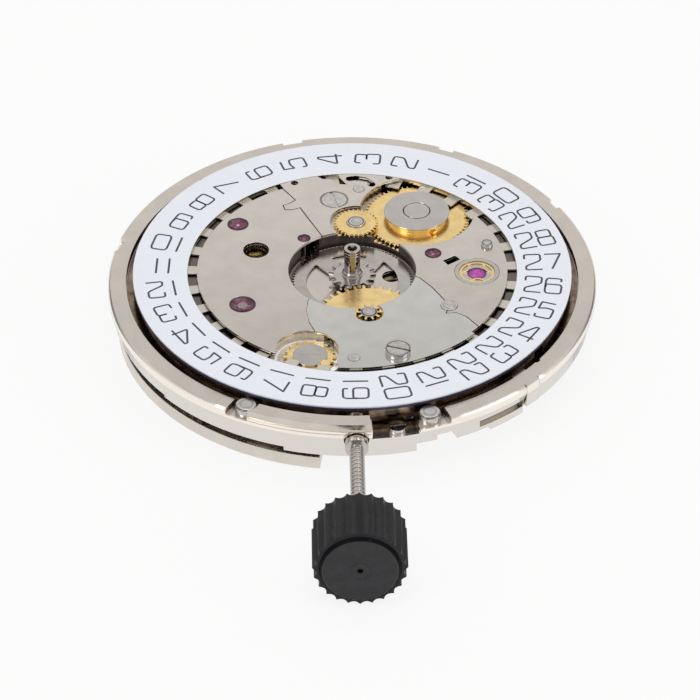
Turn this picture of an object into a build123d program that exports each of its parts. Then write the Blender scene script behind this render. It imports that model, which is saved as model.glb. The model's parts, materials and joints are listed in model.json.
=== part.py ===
from build123d import *
import math
import os

# An automatic watch movement, seen from its dial side, in millimetres.
# The origin is in its middle, at the underside of the casing flange, and Z points to the dial.
# The winding stem leaves along -Y.

# Main plate
case_fit_radius = 12.8
flange_overhang = 0.26
flange_radius = case_fit_radius + flange_overhang
flange_height = 0.52
flange_chamfer = 0.12
flange_land = 0.96
groove_outer = flange_radius - flange_land
groove_floor = 0.10
groove_width = 0.60
channel_outer = groove_outer - groove_width
channel_floor = 0.64
boss_radius = 7.95
boss_top = 0.84
plate_underside = -0.10
wall_thickness = 1.20
wall_inner = case_fit_radius - wall_thickness
wall_low = -1.15
wall_deep = -1.38
centre_recess_radius = 3.42
centre_recess_floor = 0.04
running_gap = 0.06
side_gap = 0.10
thin_gap = 0.03
press_gap = 0.01
overrun = 0.4

# Flange details
pad_top = 0.80
pad_step = 0.08
pad_width = 0.78
pad_outer = flange_radius - pad_step
pad_inner = pad_outer - pad_width
pad_groove_depth = 0.07
pad_groove_height = 0.05
pad_groove_heights = (0.20, 0.40)
rim_notch_depth = 0.33
rim_notch_floor = 0.16
stem_window_floor = -0.28
wall_slot_depth = 0.40
radial_block_low = -0.85
radial_block_width = 0.93
radial_groove_width = 0.05
radial_groove_depth = 0.20
radial_notch_low = -0.16
radial_notch_high = 0.04
radial_block_length = 1.15
groove_pocket_reach = 0.30

# Covers on the dial side
cover_thickness = 0.16
cover_radius = 8.30
minute_cover_radius = 8.50
seam_width = 0.05
setting_hole_radius = 0.695
seconds_pin_radius = 0.35
shock_outer_radius = 1.20
shock_seat_floor = 0.50
back_shock_radius = 1.00
shock_ring_width = 0.24
shock_floor_thickness = 0.12
shock_jewel_radius = 0.50
shock_jewel_thickness = 0.10
shock_spring_width = 0.12
shock_spring_thickness = 0.05
shock_wire_width = 0.07
shock_spring_lobes = 3
shock_spring_turn = 30.0
lobe_sides = [(-1, 30), (-1, 14), (1, 14), (1, 30)]
oblong_hole_length = 0.80
oblong_hole_width = 0.45
oblong_hole_turn = 35.0
window_floor = 0.20
jumper_slot_width = 0.42
edge_notch_radius = 0.20

# Date work
ring_room = 0.38
ring_outer = groove_outer - ring_room
ring_inner = 8.80
ring_play = 0.06
date_wheel_lift = 0.09
ring_tooth_thickness = 0.09
ring_tip_radius = 8.10
ring_tooth_count = 31
ring_top_step = 0.02
date_module = 0.09045
date_driving_teeth = 62
date_pinion_teeth = 14
date_wheel_reach = 6.357
date_wheel_turn = 55.51
date_pinion_turn = -165.0
date_pocket_radius = 3.13
date_pocket_floor = 0.38
date_wheel_thickness = 0.13
date_hub_radius = 1.62
date_disc_radius = 1.78
date_disc_thickness = 0.08
date_disc_top = 1.02
date_disc_groove_radius = 0.75
date_disc_groove_width = 0.05
date_disc_groove_depth = 0.03
date_finger_length = 1.90
date_finger_width = 0.22
date_finger_turn = -60.0
date_stud_radius = 0.60
calendar_wheel_radius = 1.22
calendar_wheel_teeth = 30
calendar_wheel_thickness = 0.14
calendar_core_radius = 0.50
calendar_hole_radius = 1.42
corrector_reach = 7.25
corrector_turn = -108.66
corrector_radius = 1.40
corrector_teeth = 18
corrector_thickness = 0.12
corrector_disc_radius = 0.92
corrector_disc_thickness = 0.10
corrector_pin_radius = 0.26
corrector_pin_reach = 1.10
corrector_pin_turn = -44.0
corrector_stud_radius = 0.25
corrector_recess_radius = 1.66
corrector_recess_reach = 7.39
corrector_recess_turn = -109.61
corrector_recess_floor = 0.34
jumper_thickness = 0.09
jumper_width = 0.46
jumper_swing = 0.40
jumper_pivot_radius = 0.30

# Motion work
cannon_module = 0.1525
cannon_teeth = 15
minute_wheel_teeth = 36
minute_pinion_teeth = 10
setting_wheel_teeth = 8
minute_wheel_turn = -77.82
setting_wheel_turn = -91.15
minute_wheel_low = 0.53
minute_wheel_thickness = 0.12
minute_pinion_top = 1.06
minute_pinion_module = 0.115
minute_core_radius = 0.38
cannon_tube_radius = 0.43
cannon_hub_radius = 0.58
cannon_tube_top = 2.42
cannon_low = 0.08
cannon_leaf_low = 0.45
cannon_leaf_top = 0.70
centre_tube_radius = 0.24
centre_tube_bore = 0.14
centre_tube_top = 2.20
drive_wheel_teeth = 85
drive_pinion_teeth = 17
drive_wheel_thickness = 0.12
drive_hub_width = 0.28
drive_spoke_width = 1.00
drive_rim_inner = 2.46
recess_hole_radius = 0.50
recess_hole_reach = 2.20

# Going train
seconds_wheel_teeth = 96
seconds_pinion_teeth = 8
third_wheel_teeth = 96
third_pinion_teeth = 10
second_wheel_teeth = 70
second_pinion_teeth = 15
barrel_teeth = 75
escape_pinion_teeth = 8
escape_teeth = 15
third_module = 0.0736923
third_turn = 131.72
second_module = 0.09525
second_turn = 159.57
barrel_module = 0.159222
barrel_turn = -87.84
escape_module = 0.0725
escape_turn = 45.0
arbor_radius = 0.12
pivot_radius = 0.10
jewel_play = 0.02
jewel_rim = 0.03
jewel_seat_radii = (0.565, 0.69, 0.34, 0.44)
bearing_jewel_radius = 0.35
bearing_jewel_height = 0.12
seconds_tip_radius = 0.11
seconds_tip_top = 2.65
train_disc_thickness = 0.08
pinion_face_margin = 0.04
train_hub_width = 0.45
train_spoke_width = 0.30
train_spokes = 4
seconds_disc_low = -0.24
third_disc_low = -0.44
second_disc_low = -0.58
escape_disc_low = -0.63
barrel_drum_radius = 5.60
barrel_wall = 0.18
barrel_floor = 0.10
barrel_top = -0.64
barrel_low = -1.20
barrel_tooth_height = 0.14
barrel_cover_thickness = 0.08
barrel_core_radius = 0.90
barrel_arbor_radius = 0.36
barrel_pivot_radius = 0.28
mainspring_inner = 1.10
mainspring_pitch = 0.66
mainspring_thickness = 0.12
mainspring_half_turns = 12

# Escapement and balance
escape_radius = 1.75
pallet_reach = 2.135
pallet_turn = -37.04
balance_reach = 2.846
balance_turn = -36.43
pallet_lever_length = 2.20
pallet_lever_width = 0.22
pallet_arm_width = 0.20
pallet_hub_radius = 0.26
pallet_stone_length = 0.36
pallet_stone_width = 0.16
pallet_bridge_low = -0.86
pallet_bridge_thickness = 0.14
balance_radius = 4.10
balance_rim_width = 0.42
balance_spoke_width = 0.42
balance_hub_radius = 0.55
balance_low = -1.12
balance_thickness = 0.17
balance_arms = 3
balance_arm_turn = 90.0
roller_radius = 0.55
roller_thickness = 0.06
impulse_pin_radius = 0.06
impulse_pin_reach = 0.43
impulse_pin_height = 0.04
impulse_pin_top = -0.66
staff_radius = 0.19
staff_pivot_radius = 0.06
hairspring_drop = 0.05
fork_slot_width = 0.12
pallet_boss_radius = 0.55
pallet_foot_radius = 0.36
back_shock_top = -1.34
back_shock_depth = 0.46
regulator_thickness = 0.06
regulator_width = 0.40
regulator_length = 2.60
regulator_turn = 205.0
hairspring_inner = 0.60
hairspring_pitch = 0.50
hairspring_thickness = 0.05
hairspring_height = 0.06
hairspring_half_turns = 8

# Bridges on the back
bridge_top = -1.32
bridge_thickness = 0.22
bridge_radius = wall_inner - side_gap
bridge_gap = 0.08
bridge_seat_inner = 10.5
cock_seat_inner = 10.9
balance_window_radius = 4.40
balance_clear_inner = 4.20
cock_width = 3.20
ratchet_teeth = 54
crown_wheel_teeth = 20
reduction_pinion_teeth = 6
winding_module = 0.18986
ratchet_thickness = 0.10
reduction_pinion_turn = 7.26
contrate_radius = 1.60
contrate_width = 0.26
contrate_top = -1.24
contrate_teeth = 24
crown_wheel_core_radius = 0.60
ratchet_screw_radius = 1.20
click_radius = 0.55
click_thickness = 0.10

# Automatic work
rotor_gear_teeth = 42
reversing_upper_teeth = 26
reversing_lower_teeth = 15
reduction_wheel_teeth = 37
rotor_module = 0.10
reversing_turn = -45.0
auto_bridge_top = -1.87
auto_bridge_thickness = 0.16
auto_gear_thickness = 0.08
auto_hull_radius = 1.30
auto_foot_radius = 0.85
auto_boss_radius = 0.60
rotor_inset = 0.20
rotor_radius = case_fit_radius - rotor_inset
rotor_rim_inner = 10.90
rotor_rim_top = -1.74
rotor_rim_low = -2.48
rotor_web_top = -2.20
rotor_web_thickness = 0.14
rotor_first_turn = 82.0
rotor_last_turn = 261.4
rotor_hub_radius = 2.60
rotor_axle_radius = 0.55
rotor_axle_low = -2.44
rotor_screw_radius = 1.10
rotor_lip_width = 0.60
rotor_windows = 3
rotor_window_margin = 0.90

# Winding and setting
stem_height = -0.30
stem_radius = 0.50
stem_inner_end = -5.30
stem_pilot_radius = 0.30
stem_pilot_length = 0.70
stem_square = 0.62
stem_square_end = -8.05
stem_groove_place = -10.30
stem_groove_length = 0.50
stem_groove_radius = 0.34
stem_collar_radius = 0.60
stem_collar_stand = 0.14
stem_collar_place = -flange_radius - stem_collar_stand
stem_collar_length = 0.70
stem_thread_radius = 0.39
stem_thread_step = 0.60
stem_thread_length = 4.70
stem_thread_start = stem_collar_place - stem_thread_step
stem_thread_end = stem_thread_start - stem_thread_length
stem_thread_pitch = 0.30
stem_thread_depth = 0.05
stem_neck_radius = 0.26
crown_radius = 2.40
stem_neck_length = 1.20
crown_length = 3.36
crown_back = stem_thread_end - stem_neck_length
crown_front = crown_back - crown_length
crown_flutes = 28
crown_flute_radius = 0.17
crown_face_radius = 1.80
crown_face_depth = 0.16
crown_edge = 0.14
crown_mark_radius = 0.42
crown_mark_height = 0.06
winding_pinion_radius = 0.90
winding_pinion_front = -8.10
winding_pinion_back = -8.95
winding_pinion_leaves = 12
sliding_pinion_radius = 0.70
sliding_pinion_front = -6.40
sliding_pinion_back = -7.90
sliding_pinion_leaves = 10
sliding_groove_radius = 0.48
sliding_groove_place = -7.00
sliding_groove_length = 0.34
keyless_window_radius = 0.98
keyless_window_front = -5.85
keyless_window_back = -9.10
stem_block_low = -1.15
stem_block_wall = 0.60
stem_block_side = 0.40
crown_pull = 0.90
sliding_travel = 0.40
lever_thickness = 0.16
lever_top = -0.22
lever_width = 0.46
lever_tip_width = 0.26
lever_pivot_radius = 0.32
lever_stud_radius = 0.16

# Screws and posts
flat_screw_radius = 0.775
tall_screw_radius = 0.675
tall_screw_height = 0.25
bridge_screw_radius = 0.60
bridge_screw_height = 0.12
shank_radius = 0.25
slot_share = 0.22
slot_depth_share = 0.45
dome_screw_radius = 0.60
dome_screw_height = 0.26
small_screw_radius = 0.45
dial_post_radius = 0.30
dial_post_top = 1.20
date_post_radius = 0.32
date_post_height = 0.04
stacked_post_radius = 0.45
stacked_post_height = 0.10
dial_foot_radius = 0.23
dial_foot_reach = 11.98
dial_foot_depth = 0.90
dial_foot_turns = (132.0, -38.0)

# Places given as shares of the covers' radius
setting_hole_share = (-0.619, 0.219)
oblong_hole_share = (0.643, 0.089)
dial_post_share = (0.878, 0.242)
flat_screw_share = (-0.106, 0.766)
tall_screw_share = (0.272, -0.867)
date_post_share = (0.060, 0.884)
crescent_post_share = (-0.005, -0.919)
stacked_post_share = (0.610, -0.394)
jumper_pivot_share = (-0.229, 0.880)
jumper_nose_share = (0.036, 0.958)
edge_notch_shares = [(-0.365, 0.958), (0.262, 1.01)]
jumper_window_shares = [
    (-0.207, 1.024), (-0.220, 1.10), (-0.085, 1.10), (-0.077, 1.047),
    (-0.022, 0.935), (-0.072, 0.943), (-0.124, 0.996), (-0.180, 1.001),
]
jumper_slot_shares = [(0.0, 1.0), (0.042, 1.007), (0.102, 0.988), (0.145, 0.934)]
stack_share = 0.7
upper_seam_shares = [
    (-0.50, 0.99), (-0.454, 0.913), (-0.360, 0.765), (-0.396, 0.733), (-0.442, 0.711),
    (-0.430, 0.660), (-0.383, 0.660), (-0.331, 0.681), (-0.190, 0.364), (-0.16, 0.30),
]
left_seam_shares = [
    (-0.27, -0.28), (-0.288, -0.331), (-0.299, -0.446), (-0.283, -0.551), (-0.246, -0.654),
    (-0.178, -0.723), (-0.106, -0.790), (-0.117, -0.861), (-0.106, -1.06),
]
right_seam_shares = [
    (0.36, -0.05), (0.434, -0.100), (0.507, -0.198), (0.577, -0.325), (0.610, -0.394), (0.588, -0.472),
    (0.652, -0.469), (0.713, -0.506), (0.786, -0.611), (0.814, -0.663), (0.88, -0.76),
]

# Places and outlines given as shares of the bridges' radius
bridge_seam_shares = [(-1.06, 0.05), (-0.27, -0.06), (0.17, -0.115), (1.06, -0.52)]
bridge_screw_shares = [
    (-0.865, 0.42), (-0.14, 0.95), (0.715, 0.64), (0.56, -0.79), (-0.41, -0.87), (0.978, 0),
]
auto_foot_shares = [(0.02, 0.39), (0.52, 0.44), (0.37, -0.64)]
click_pivot_share = (-0.235, -0.800)
pallet_foot_shares = [(0.487, 0.313), (0.40, -0.139)]
setting_lever_share = (0.235, -0.935)
yoke_share = (0.235, -0.587)
clamp_screw_turns = (-117.3, -72.1)
clamp_screw_reach = 12.3
lever_screw_share = (0.183, -1.045)

# Angles of the wall's lower edge, with its height as a share of the deep wall's
wall_step_shares = [
    (-107, -76, 1.0), (-76, -71, 0.66), (-71, -66, 0.44), (-66, -57, 0.84), (-57, -46, 1.0),
]
wall_slot_turns = (-60.0, -47.2)
wall_slot_heights = (-0.54, -0.95)
wall_low_turns = (-46, 253)
flange_gap_turns = [(163.5, 168.5), (101.5, 106.5), (63.0, 67.0), (28.0, 32.0)]
clamp_notch_turns = [(-121.0, -115.5), (-75.4, -68.0)]
pad_turns = (-115.5, -86.8)
stem_window_turns = (-86.4, -75.4)
minute_cover_turns = (-96, -42)
upper_cover_turns = (66, 116)
radial_block_turn = -45.0
radial_notch_turns = (-42.7, -41.4)
teeth_sight_turns = (-165, -141)
groove_pocket_turns = (-35.0, -30.5)
flat_slot_turn = -76
tall_slot_turn = -20
lever_slot_turn = 10
bridge_slot_turn = 40
auto_slot_turn = 30
click_slot_turn = 60
bridge_seat_turns = [(150, 160), (92, 106), (36, 50), (-60, -50), (-118, -110)]
cock_seat_turns = (-14, 14)
balance_clear_turns = (-33, 30)
drive_spoke_turns = (57.0, 129.5, 237.0, 309.5)
recess_hole_turn = 16.0
escape_spoke_turns = (10.0, 100.0, 190.0, 280.0)
train_spoke_turn = 20.0
ratchet_slot_turn = 25
crown_wheel_slot_turn = 70
corrector_slot_turn = 0
spiral_sight_steps = 36
axle_slot_turn = 15
pallet_spread = 30
click_lead = -20
jumper_bow = 8

# Tooth form, as shares of the pitch and of the module
tooth_root_share = 0.23
tooth_tip_share = 0.12
ring_tooth_share = 0.40
wheel_root_share = 0.88
corrector_root_share = 0.86
pinion_root_share = 0.78
escape_rim_share = 0.58
jewel_bowl_share = 0.55
rotor_window_share = 0.78
addendum_share = 0.85
dedendum_share = 1.05
escape_root_share = 0.76
escape_heel_share = 0.45
escape_lean_share = 0.30
full_turn = 360


def polar(reach, degrees, start=(0, 0)):
    turn = math.radians(degrees)
    return (start[0] + reach * math.cos(turn), start[1] + reach * math.sin(turn))


def at_share(size, share):
    return (size * share[0], size * share[1])


def direction(start, end):
    return math.degrees(math.atan2(end[1] - start[1], end[0] - start[0]))


def circles_meet(first, first_reach, second, second_reach):
    gap = math.dist(first, second)
    along = (gap ** 2 + first_reach ** 2 - second_reach ** 2) / (2 * gap)
    aside = math.sqrt(first_reach ** 2 - along ** 2)
    heading = direction(first, second)
    return polar(aside, heading - 90, polar(along, heading, first))


def meshed(phase, teeth, other_teeth, heading):
    pitch = full_turn / teeth
    other_pitch = full_turn / other_teeth
    return heading + 180 - ((phase - heading) / pitch + 0.5) * other_pitch


# Arbor places, worked out from the tooth counts
def centre_distance(teeth, other_teeth, module_size):
    return (teeth + other_teeth) * module_size / 2


CENTRE = (0, 0)
THIRD = polar(centre_distance(third_wheel_teeth, seconds_pinion_teeth, third_module), third_turn)
SECOND = polar(centre_distance(second_wheel_teeth, third_pinion_teeth, second_module), second_turn, THIRD)
BARREL = polar(centre_distance(barrel_teeth, second_pinion_teeth, barrel_module), barrel_turn, SECOND)
ESCAPE = polar(centre_distance(seconds_wheel_teeth, escape_pinion_teeth, escape_module), escape_turn)
PALLET = polar(pallet_reach, pallet_turn, ESCAPE)
BALANCE = polar(balance_reach, balance_turn, PALLET)
MINUTE = polar(centre_distance(cannon_teeth, minute_wheel_teeth, cannon_module), minute_wheel_turn)
setting_reach = centre_distance(minute_wheel_teeth, setting_wheel_teeth, cannon_module)
SETTING = polar(setting_reach, setting_wheel_turn, MINUTE)
DATE_DRIVE = polar(date_wheel_reach, date_wheel_turn)
calendar_reach = centre_distance(date_driving_teeth, date_pinion_teeth, date_module)
CALENDAR = polar(calendar_reach, date_pinion_turn, DATE_DRIVE)
CORRECTOR = polar(corrector_reach, corrector_turn)
CORRECTOR_RECESS = polar(corrector_recess_reach, corrector_recess_turn)
crown_wheel_distance = centre_distance(ratchet_teeth, crown_wheel_teeth, winding_module)
CROWN_WHEEL = (0, BARREL[1] - math.sqrt(crown_wheel_distance ** 2 - BARREL[0] ** 2))
reduction_reach = centre_distance(ratchet_teeth, reduction_pinion_teeth, winding_module)
REDUCTION = polar(reduction_reach, reduction_pinion_turn, BARREL)
reversing_reach = centre_distance(rotor_gear_teeth, reversing_upper_teeth, rotor_module)
REVERSING_A = polar(reversing_reach, reversing_turn)
reduction_module = 2 * math.dist(REDUCTION, REVERSING_A) / (reduction_wheel_teeth + reversing_lower_teeth)
REVERSING_B = circles_meet(
    REDUCTION, math.dist(REDUCTION, REVERSING_A), REVERSING_A, reversing_upper_teeth * rotor_module
)
drive_module = 2 * math.dist(CENTRE, THIRD) / (drive_wheel_teeth + drive_pinion_teeth)
SETTING_HOLE = at_share(cover_radius, setting_hole_share)
OBLONG_HOLE = at_share(cover_radius, oblong_hole_share)
DIAL_POST = at_share(cover_radius, dial_post_share)
FLAT_SCREW = at_share(cover_radius, flat_screw_share)
TALL_SCREW = at_share(cover_radius, tall_screw_share)
DATE_POST = at_share(cover_radius, date_post_share)
CRESCENT_POST = at_share(cover_radius, crescent_post_share)
STACKED_POST = at_share(cover_radius, stacked_post_share)
JUMPER_PIVOT = at_share(cover_radius, jumper_pivot_share)
JUMPER_NOSE = at_share(cover_radius, jumper_nose_share)
LEVER_SCREW = at_share(bridge_radius, lever_screw_share)
CLICK_PIVOT = at_share(bridge_radius, click_pivot_share)

# Heights that follow from the values above
cover_top = boss_top + cover_thickness
ring_low = channel_floor + ring_play
ring_top = cover_top - ring_top_step
date_wheel_low = date_pocket_floor + date_wheel_lift
date_wheel_top = date_wheel_low + date_wheel_thickness
calendar_wheel_low = boss_top - running_gap
bridge_low = bridge_top - bridge_thickness
auto_bridge_low = auto_bridge_top - auto_bridge_thickness
auto_inner_low = auto_bridge_top + thin_gap
auto_outer_top = auto_bridge_low - thin_gap
ratchet_top = bridge_low - thin_gap
corrector_low = corrector_recess_floor + running_gap
corrector_top = corrector_low + corrector_thickness


def raised(face, low, high):
    return extrude(Pos(0, 0, low) * face, high - low, dir=(0, 0, 1))


def disc(radius, low, high, place=(0, 0)):
    upright = (Align.CENTER, Align.CENTER, Align.MIN)
    return Pos(place[0], place[1], low) * Cylinder(radius, high - low, align=upright)


def collar(outer, inner, low, high, place=(0, 0)):
    return disc(outer, low, high, place) - disc(inner, low - overrun, high + overrun, place)


def prism(points, low, high):
    return raised(make_face(Polyline(*points, close=True)), low, high)


def sector(inner, outer, turns, low, high):
    first, last = turns
    middle = (first + last) / 2
    outline = [
        ThreePointArc(polar(outer, first), polar(outer, middle), polar(outer, last)),
        Line(polar(outer, last), polar(inner, last)),
        ThreePointArc(polar(inner, last), polar(inner, middle), polar(inner, first)),
        Line(polar(inner, first), polar(outer, first)),
    ]
    return raised(make_face(outline), low, high)


def bar(start, end, width, low, high):
    length = math.dist(start, end)
    middle = ((start[0] + end[0]) / 2, (start[1] + end[1]) / 2)
    blank = Box(length, width, high - low, align=(Align.CENTER, Align.CENTER, Align.MIN))
    return Pos(middle[0], middle[1], low) * Rot(0, 0, direction(start, end)) * blank


def round_bar(start, end, width, low, high):
    ends = disc(width / 2, low, high, start) + disc(width / 2, low, high, end)
    return bar(start, end, width, low, high) + ends


def along_stem(radius, front, back):
    length = front - back
    rod = Cylinder(radius, length, align=(Align.CENTER, Align.CENTER, Align.MIN))
    return Pos(0, front, stem_height) * Rot(90, 0, 0) * rod


def tooth_points(teeth, tip_radius, root_radius, phase):
    pitch = full_turn / teeth
    points = []
    for tooth in range(teeth):
        middle = phase + tooth * pitch
        points.append(polar(root_radius, middle - tooth_root_share * pitch))
        points.append(polar(tip_radius, middle - tooth_tip_share * pitch))
        points.append(polar(tip_radius, middle + tooth_tip_share * pitch))
        points.append(polar(root_radius, middle + tooth_root_share * pitch))
    return points


def toothed(teeth, tip_radius, root_radius, low, high, place=(0, 0), phase=0):
    outline = tooth_points(teeth, tip_radius, root_radius, phase)
    return Pos(place[0], place[1], 0) * prism(outline, low, high)


def gear(teeth, module_size, low, high, place=(0, 0), phase=0):
    pitch_radius = teeth * module_size / 2
    tip_radius = pitch_radius + addendum_share * module_size
    root_radius = pitch_radius - dedendum_share * module_size
    return toothed(teeth, tip_radius, root_radius, low, high, place, phase)


def spoke_windows(rim_inner, hub, width, low, high, place, turns):
    windows = collar(rim_inner, hub, low - overrun, high + overrun, place)
    for turn in turns:
        end = polar(rim_inner + width, turn, place)
        windows -= bar(place, end, width, low - 2 * overrun, high + 2 * overrun)
    return windows


def spoked_gear(teeth, module_size, low, high, place, phase, hub, spokes, width, first_spoke):
    rim_inner = (teeth * module_size / 2) - 3 * module_size - width / 2
    blank = gear(teeth, module_size, low, high, place, phase)
    turns = [first_spoke + spoke * full_turn / spokes for spoke in range(spokes)]
    return blank - spoke_windows(rim_inner, hub, width, low, high, place, turns)


def slotted(head, place, radius, top, depth, turn):
    slot_width = slot_share * radius
    start = polar(radius + slot_width, turn, place)
    end = polar(radius + slot_width, turn + 180, place)
    low, high = sorted((top - depth, top + depth))
    return head - bar(start, end, slot_width, low, high)


def screw(place, radius, seat, top, shank_end, turn, shank=shank_radius):
    head = disc(radius, min(seat, top), max(seat, top), place)
    shank_solid = disc(shank, min(shank_end, seat), max(shank_end, seat), place)
    depth = slot_depth_share * (top - seat)
    return slotted(head + shank_solid, place, radius, top, depth, turn)


def spiral_points(inner, pitch, half_turns, offset):
    # Half circles whose centres alternate, each growing by half the pitch
    arcs = []
    for half in range(half_turns):
        radius = inner + half * pitch / 2
        middle_x = 0 if half % 2 == 0 else pitch / 2
        start_turn = 0 if half % 2 == 0 else 180
        arcs.append((middle_x, radius + offset, start_turn))
    return arcs


def spiral_strip(inner, pitch, half_turns, thickness, low, high, place):
    outline = []
    for middle_x, radius, start_turn in spiral_points(inner, pitch, half_turns, thickness / 2):
        ends = [polar(radius, start_turn + step, (middle_x, 0)) for step in (0, 90, 180)]
        outline.append(ThreePointArc(*ends))
    for middle_x, radius, start_turn in reversed(spiral_points(inner, pitch, half_turns, -thickness / 2)):
        ends = [polar(radius, start_turn + step, (middle_x, 0)) for step in (180, 90, 0)]
        outline.append(ThreePointArc(*ends))
    outline.insert(half_turns, Line(outline[half_turns - 1] @ 1, outline[half_turns] @ 0))
    outline.append(Line(outline[-1] @ 1, outline[0] @ 0))
    return Pos(place[0], place[1], 0) * raised(make_face(outline), low, high)


def print_spiral_gap(name, inner, pitch, half_turns, thickness):
    points = []
    steps = spiral_sight_steps
    for middle_x, radius, start_turn in spiral_points(inner, pitch, half_turns, 0):
        for step in range(steps):
            points.append(polar(radius, start_turn + step * 180 / steps, (middle_x, 0)))
    least = min(
        math.dist(points[i], points[j])
        for i in range(len(points))
        for j in range(i + steps, len(points))
    )
    print(name, "least gap to itself", round(least - thickness, 3), "mm")


# Phases that make the teeth of neighbouring wheels mesh at rest
escape_pinion_phase = meshed(0, seconds_wheel_teeth, escape_pinion_teeth, direction(CENTRE, ESCAPE))
third_wheel_phase = meshed(0, seconds_pinion_teeth, third_wheel_teeth, direction(CENTRE, THIRD))
second_wheel_phase = meshed(0, third_pinion_teeth, second_wheel_teeth, direction(THIRD, SECOND))
barrel_phase = meshed(0, second_pinion_teeth, barrel_teeth, direction(SECOND, BARREL))
drive_pinion_phase = meshed(0, drive_wheel_teeth, drive_pinion_teeth, direction(CENTRE, THIRD))
minute_wheel_phase = meshed(0, cannon_teeth, minute_wheel_teeth, direction(CENTRE, MINUTE))
setting_wheel_phase = meshed(
    minute_wheel_phase, minute_wheel_teeth, setting_wheel_teeth, direction(MINUTE, SETTING)
)
calendar_pinion_phase = meshed(0, date_driving_teeth, date_pinion_teeth, direction(DATE_DRIVE, CALENDAR))
crown_wheel_phase = meshed(0, ratchet_teeth, crown_wheel_teeth, direction(BARREL, CROWN_WHEEL))
reduction_pinion_phase = meshed(0, ratchet_teeth, reduction_pinion_teeth, direction(BARREL, REDUCTION))
upper_a_phase = meshed(0, rotor_gear_teeth, reversing_upper_teeth, direction(CENTRE, REVERSING_A))
upper_b_phase = meshed(
    upper_a_phase, reversing_upper_teeth, reversing_upper_teeth, direction(REVERSING_A, REVERSING_B)
)
lower_a_phase = meshed(0, reduction_wheel_teeth, reversing_lower_teeth, direction(REDUCTION, REVERSING_A))
lower_b_phase = meshed(0, reduction_wheel_teeth, reversing_lower_teeth, direction(REDUCTION, REVERSING_B))
ring_phase = date_wheel_turn + full_turn / ring_tooth_count / 2


def outer_radius(teeth, module_size):
    return teeth * module_size / 2 + addendum_share * module_size


def plate_blank():
    outline = [
        (0, plate_underside),
        (wall_inner, plate_underside),
        (wall_inner, wall_deep),
        (case_fit_radius, wall_deep),
        (case_fit_radius, 0),
        (flange_radius, 0),
        (flange_radius, flange_height - flange_chamfer),
        (flange_radius - flange_chamfer, flange_height),
        (groove_outer, flange_height),
        (groove_outer, groove_floor),
        (channel_outer, groove_floor),
        (channel_outer, channel_floor),
        (boss_radius, channel_floor),
        (boss_radius, boss_top),
        (0, boss_top),
    ]
    face = make_face(Polyline(*[(reach, 0, height) for reach, height in outline], close=True))
    return revolve(face, Axis.Z)


def wall_cuts():
    # What is taken off the wall's lower edge all round
    bottom = wall_deep - overrun
    cuts = [sector(wall_inner - overrun, flange_radius, wall_low_turns, bottom, wall_low)]
    for first, last, share in wall_step_shares:
        if share < 1:
            top = wall_deep * share
            cuts.append(sector(wall_inner - overrun, flange_radius, (first, last), bottom, top))
    high, low = wall_slot_heights
    slot_inner = case_fit_radius - wall_slot_depth
    cuts.append(sector(slot_inner, flange_radius, wall_slot_turns, low, high))
    teeth_room = outer_radius(barrel_teeth, barrel_module) + side_gap
    teeth_top = barrel_low + barrel_tooth_height + running_gap
    cuts.append(disc(teeth_room, bottom, teeth_top, BARREL))
    cuts.append(sector(wall_inner - overrun, flange_radius, teeth_sight_turns, bottom, teeth_top))
    cuts.append(disc(barrel_drum_radius + side_gap, bottom, barrel_top + running_gap, BARREL))
    return cuts


def rim_cuts():
    high = pad_top + overrun
    outer = flange_radius + overrun
    cuts = []
    for turns in flange_gap_turns:
        cuts.append(sector(flange_radius - rim_notch_depth, outer, turns, rim_notch_floor, high))
    for turns in clamp_notch_turns:
        cuts.append(sector(groove_outer - side_gap, outer, turns, rim_notch_floor, high))
    cuts.append(sector(channel_outer, outer, stem_window_turns, stem_window_floor, high))
    pocket_inner = channel_outer - groove_pocket_reach
    cuts.append(sector(pocket_inner, groove_outer, groove_pocket_turns, groove_floor, high))
    for height in pad_groove_heights:
        inner = flange_radius - pad_groove_depth
        cuts.append(sector(inner, outer, pad_turns, height, height + pad_groove_height))
    return cuts


def dial_side_pockets():
    high = boss_top + overrun
    minute_room = outer_radius(minute_wheel_teeth, cannon_module) + side_gap
    minute_floor = minute_wheel_low - running_gap
    setting_room = outer_radius(setting_wheel_teeth, cannon_module) + side_gap
    pinion_room = outer_radius(drive_pinion_teeth, drive_module) + side_gap
    calendar_room = outer_radius(date_pinion_teeth, date_module) + side_gap
    wheel_floor = calendar_wheel_low - running_gap
    jumper_floor = ring_low - running_gap
    cuts = [
        disc(centre_recess_radius, centre_recess_floor, high),
        disc(minute_room, minute_floor, high, MINUTE),
        disc(setting_room, minute_floor, high, SETTING),
        disc(pinion_room, centre_recess_floor, high, THIRD),
        disc(date_pocket_radius, date_pocket_floor, high, DATE_DRIVE),
        disc(calendar_room, date_pocket_floor, high, CALENDAR),
        disc(calendar_hole_radius, wheel_floor, high, CALENDAR),
        disc(corrector_recess_radius, corrector_recess_floor, high, CORRECTOR_RECESS),
        disc(setting_hole_radius, plate_underside - overrun, high, SETTING_HOLE),
        disc(shock_outer_radius + press_gap, shock_seat_floor, high, BALANCE),
        disc(stacked_post_radius + press_gap, channel_floor, high, STACKED_POST),
    ]
    room = jumper_width + 2 * jumper_swing
    cuts.append(round_bar(JUMPER_PIVOT, JUMPER_NOSE, room, jumper_floor, high))
    return cuts + cover_windows(window_floor, high)


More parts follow.
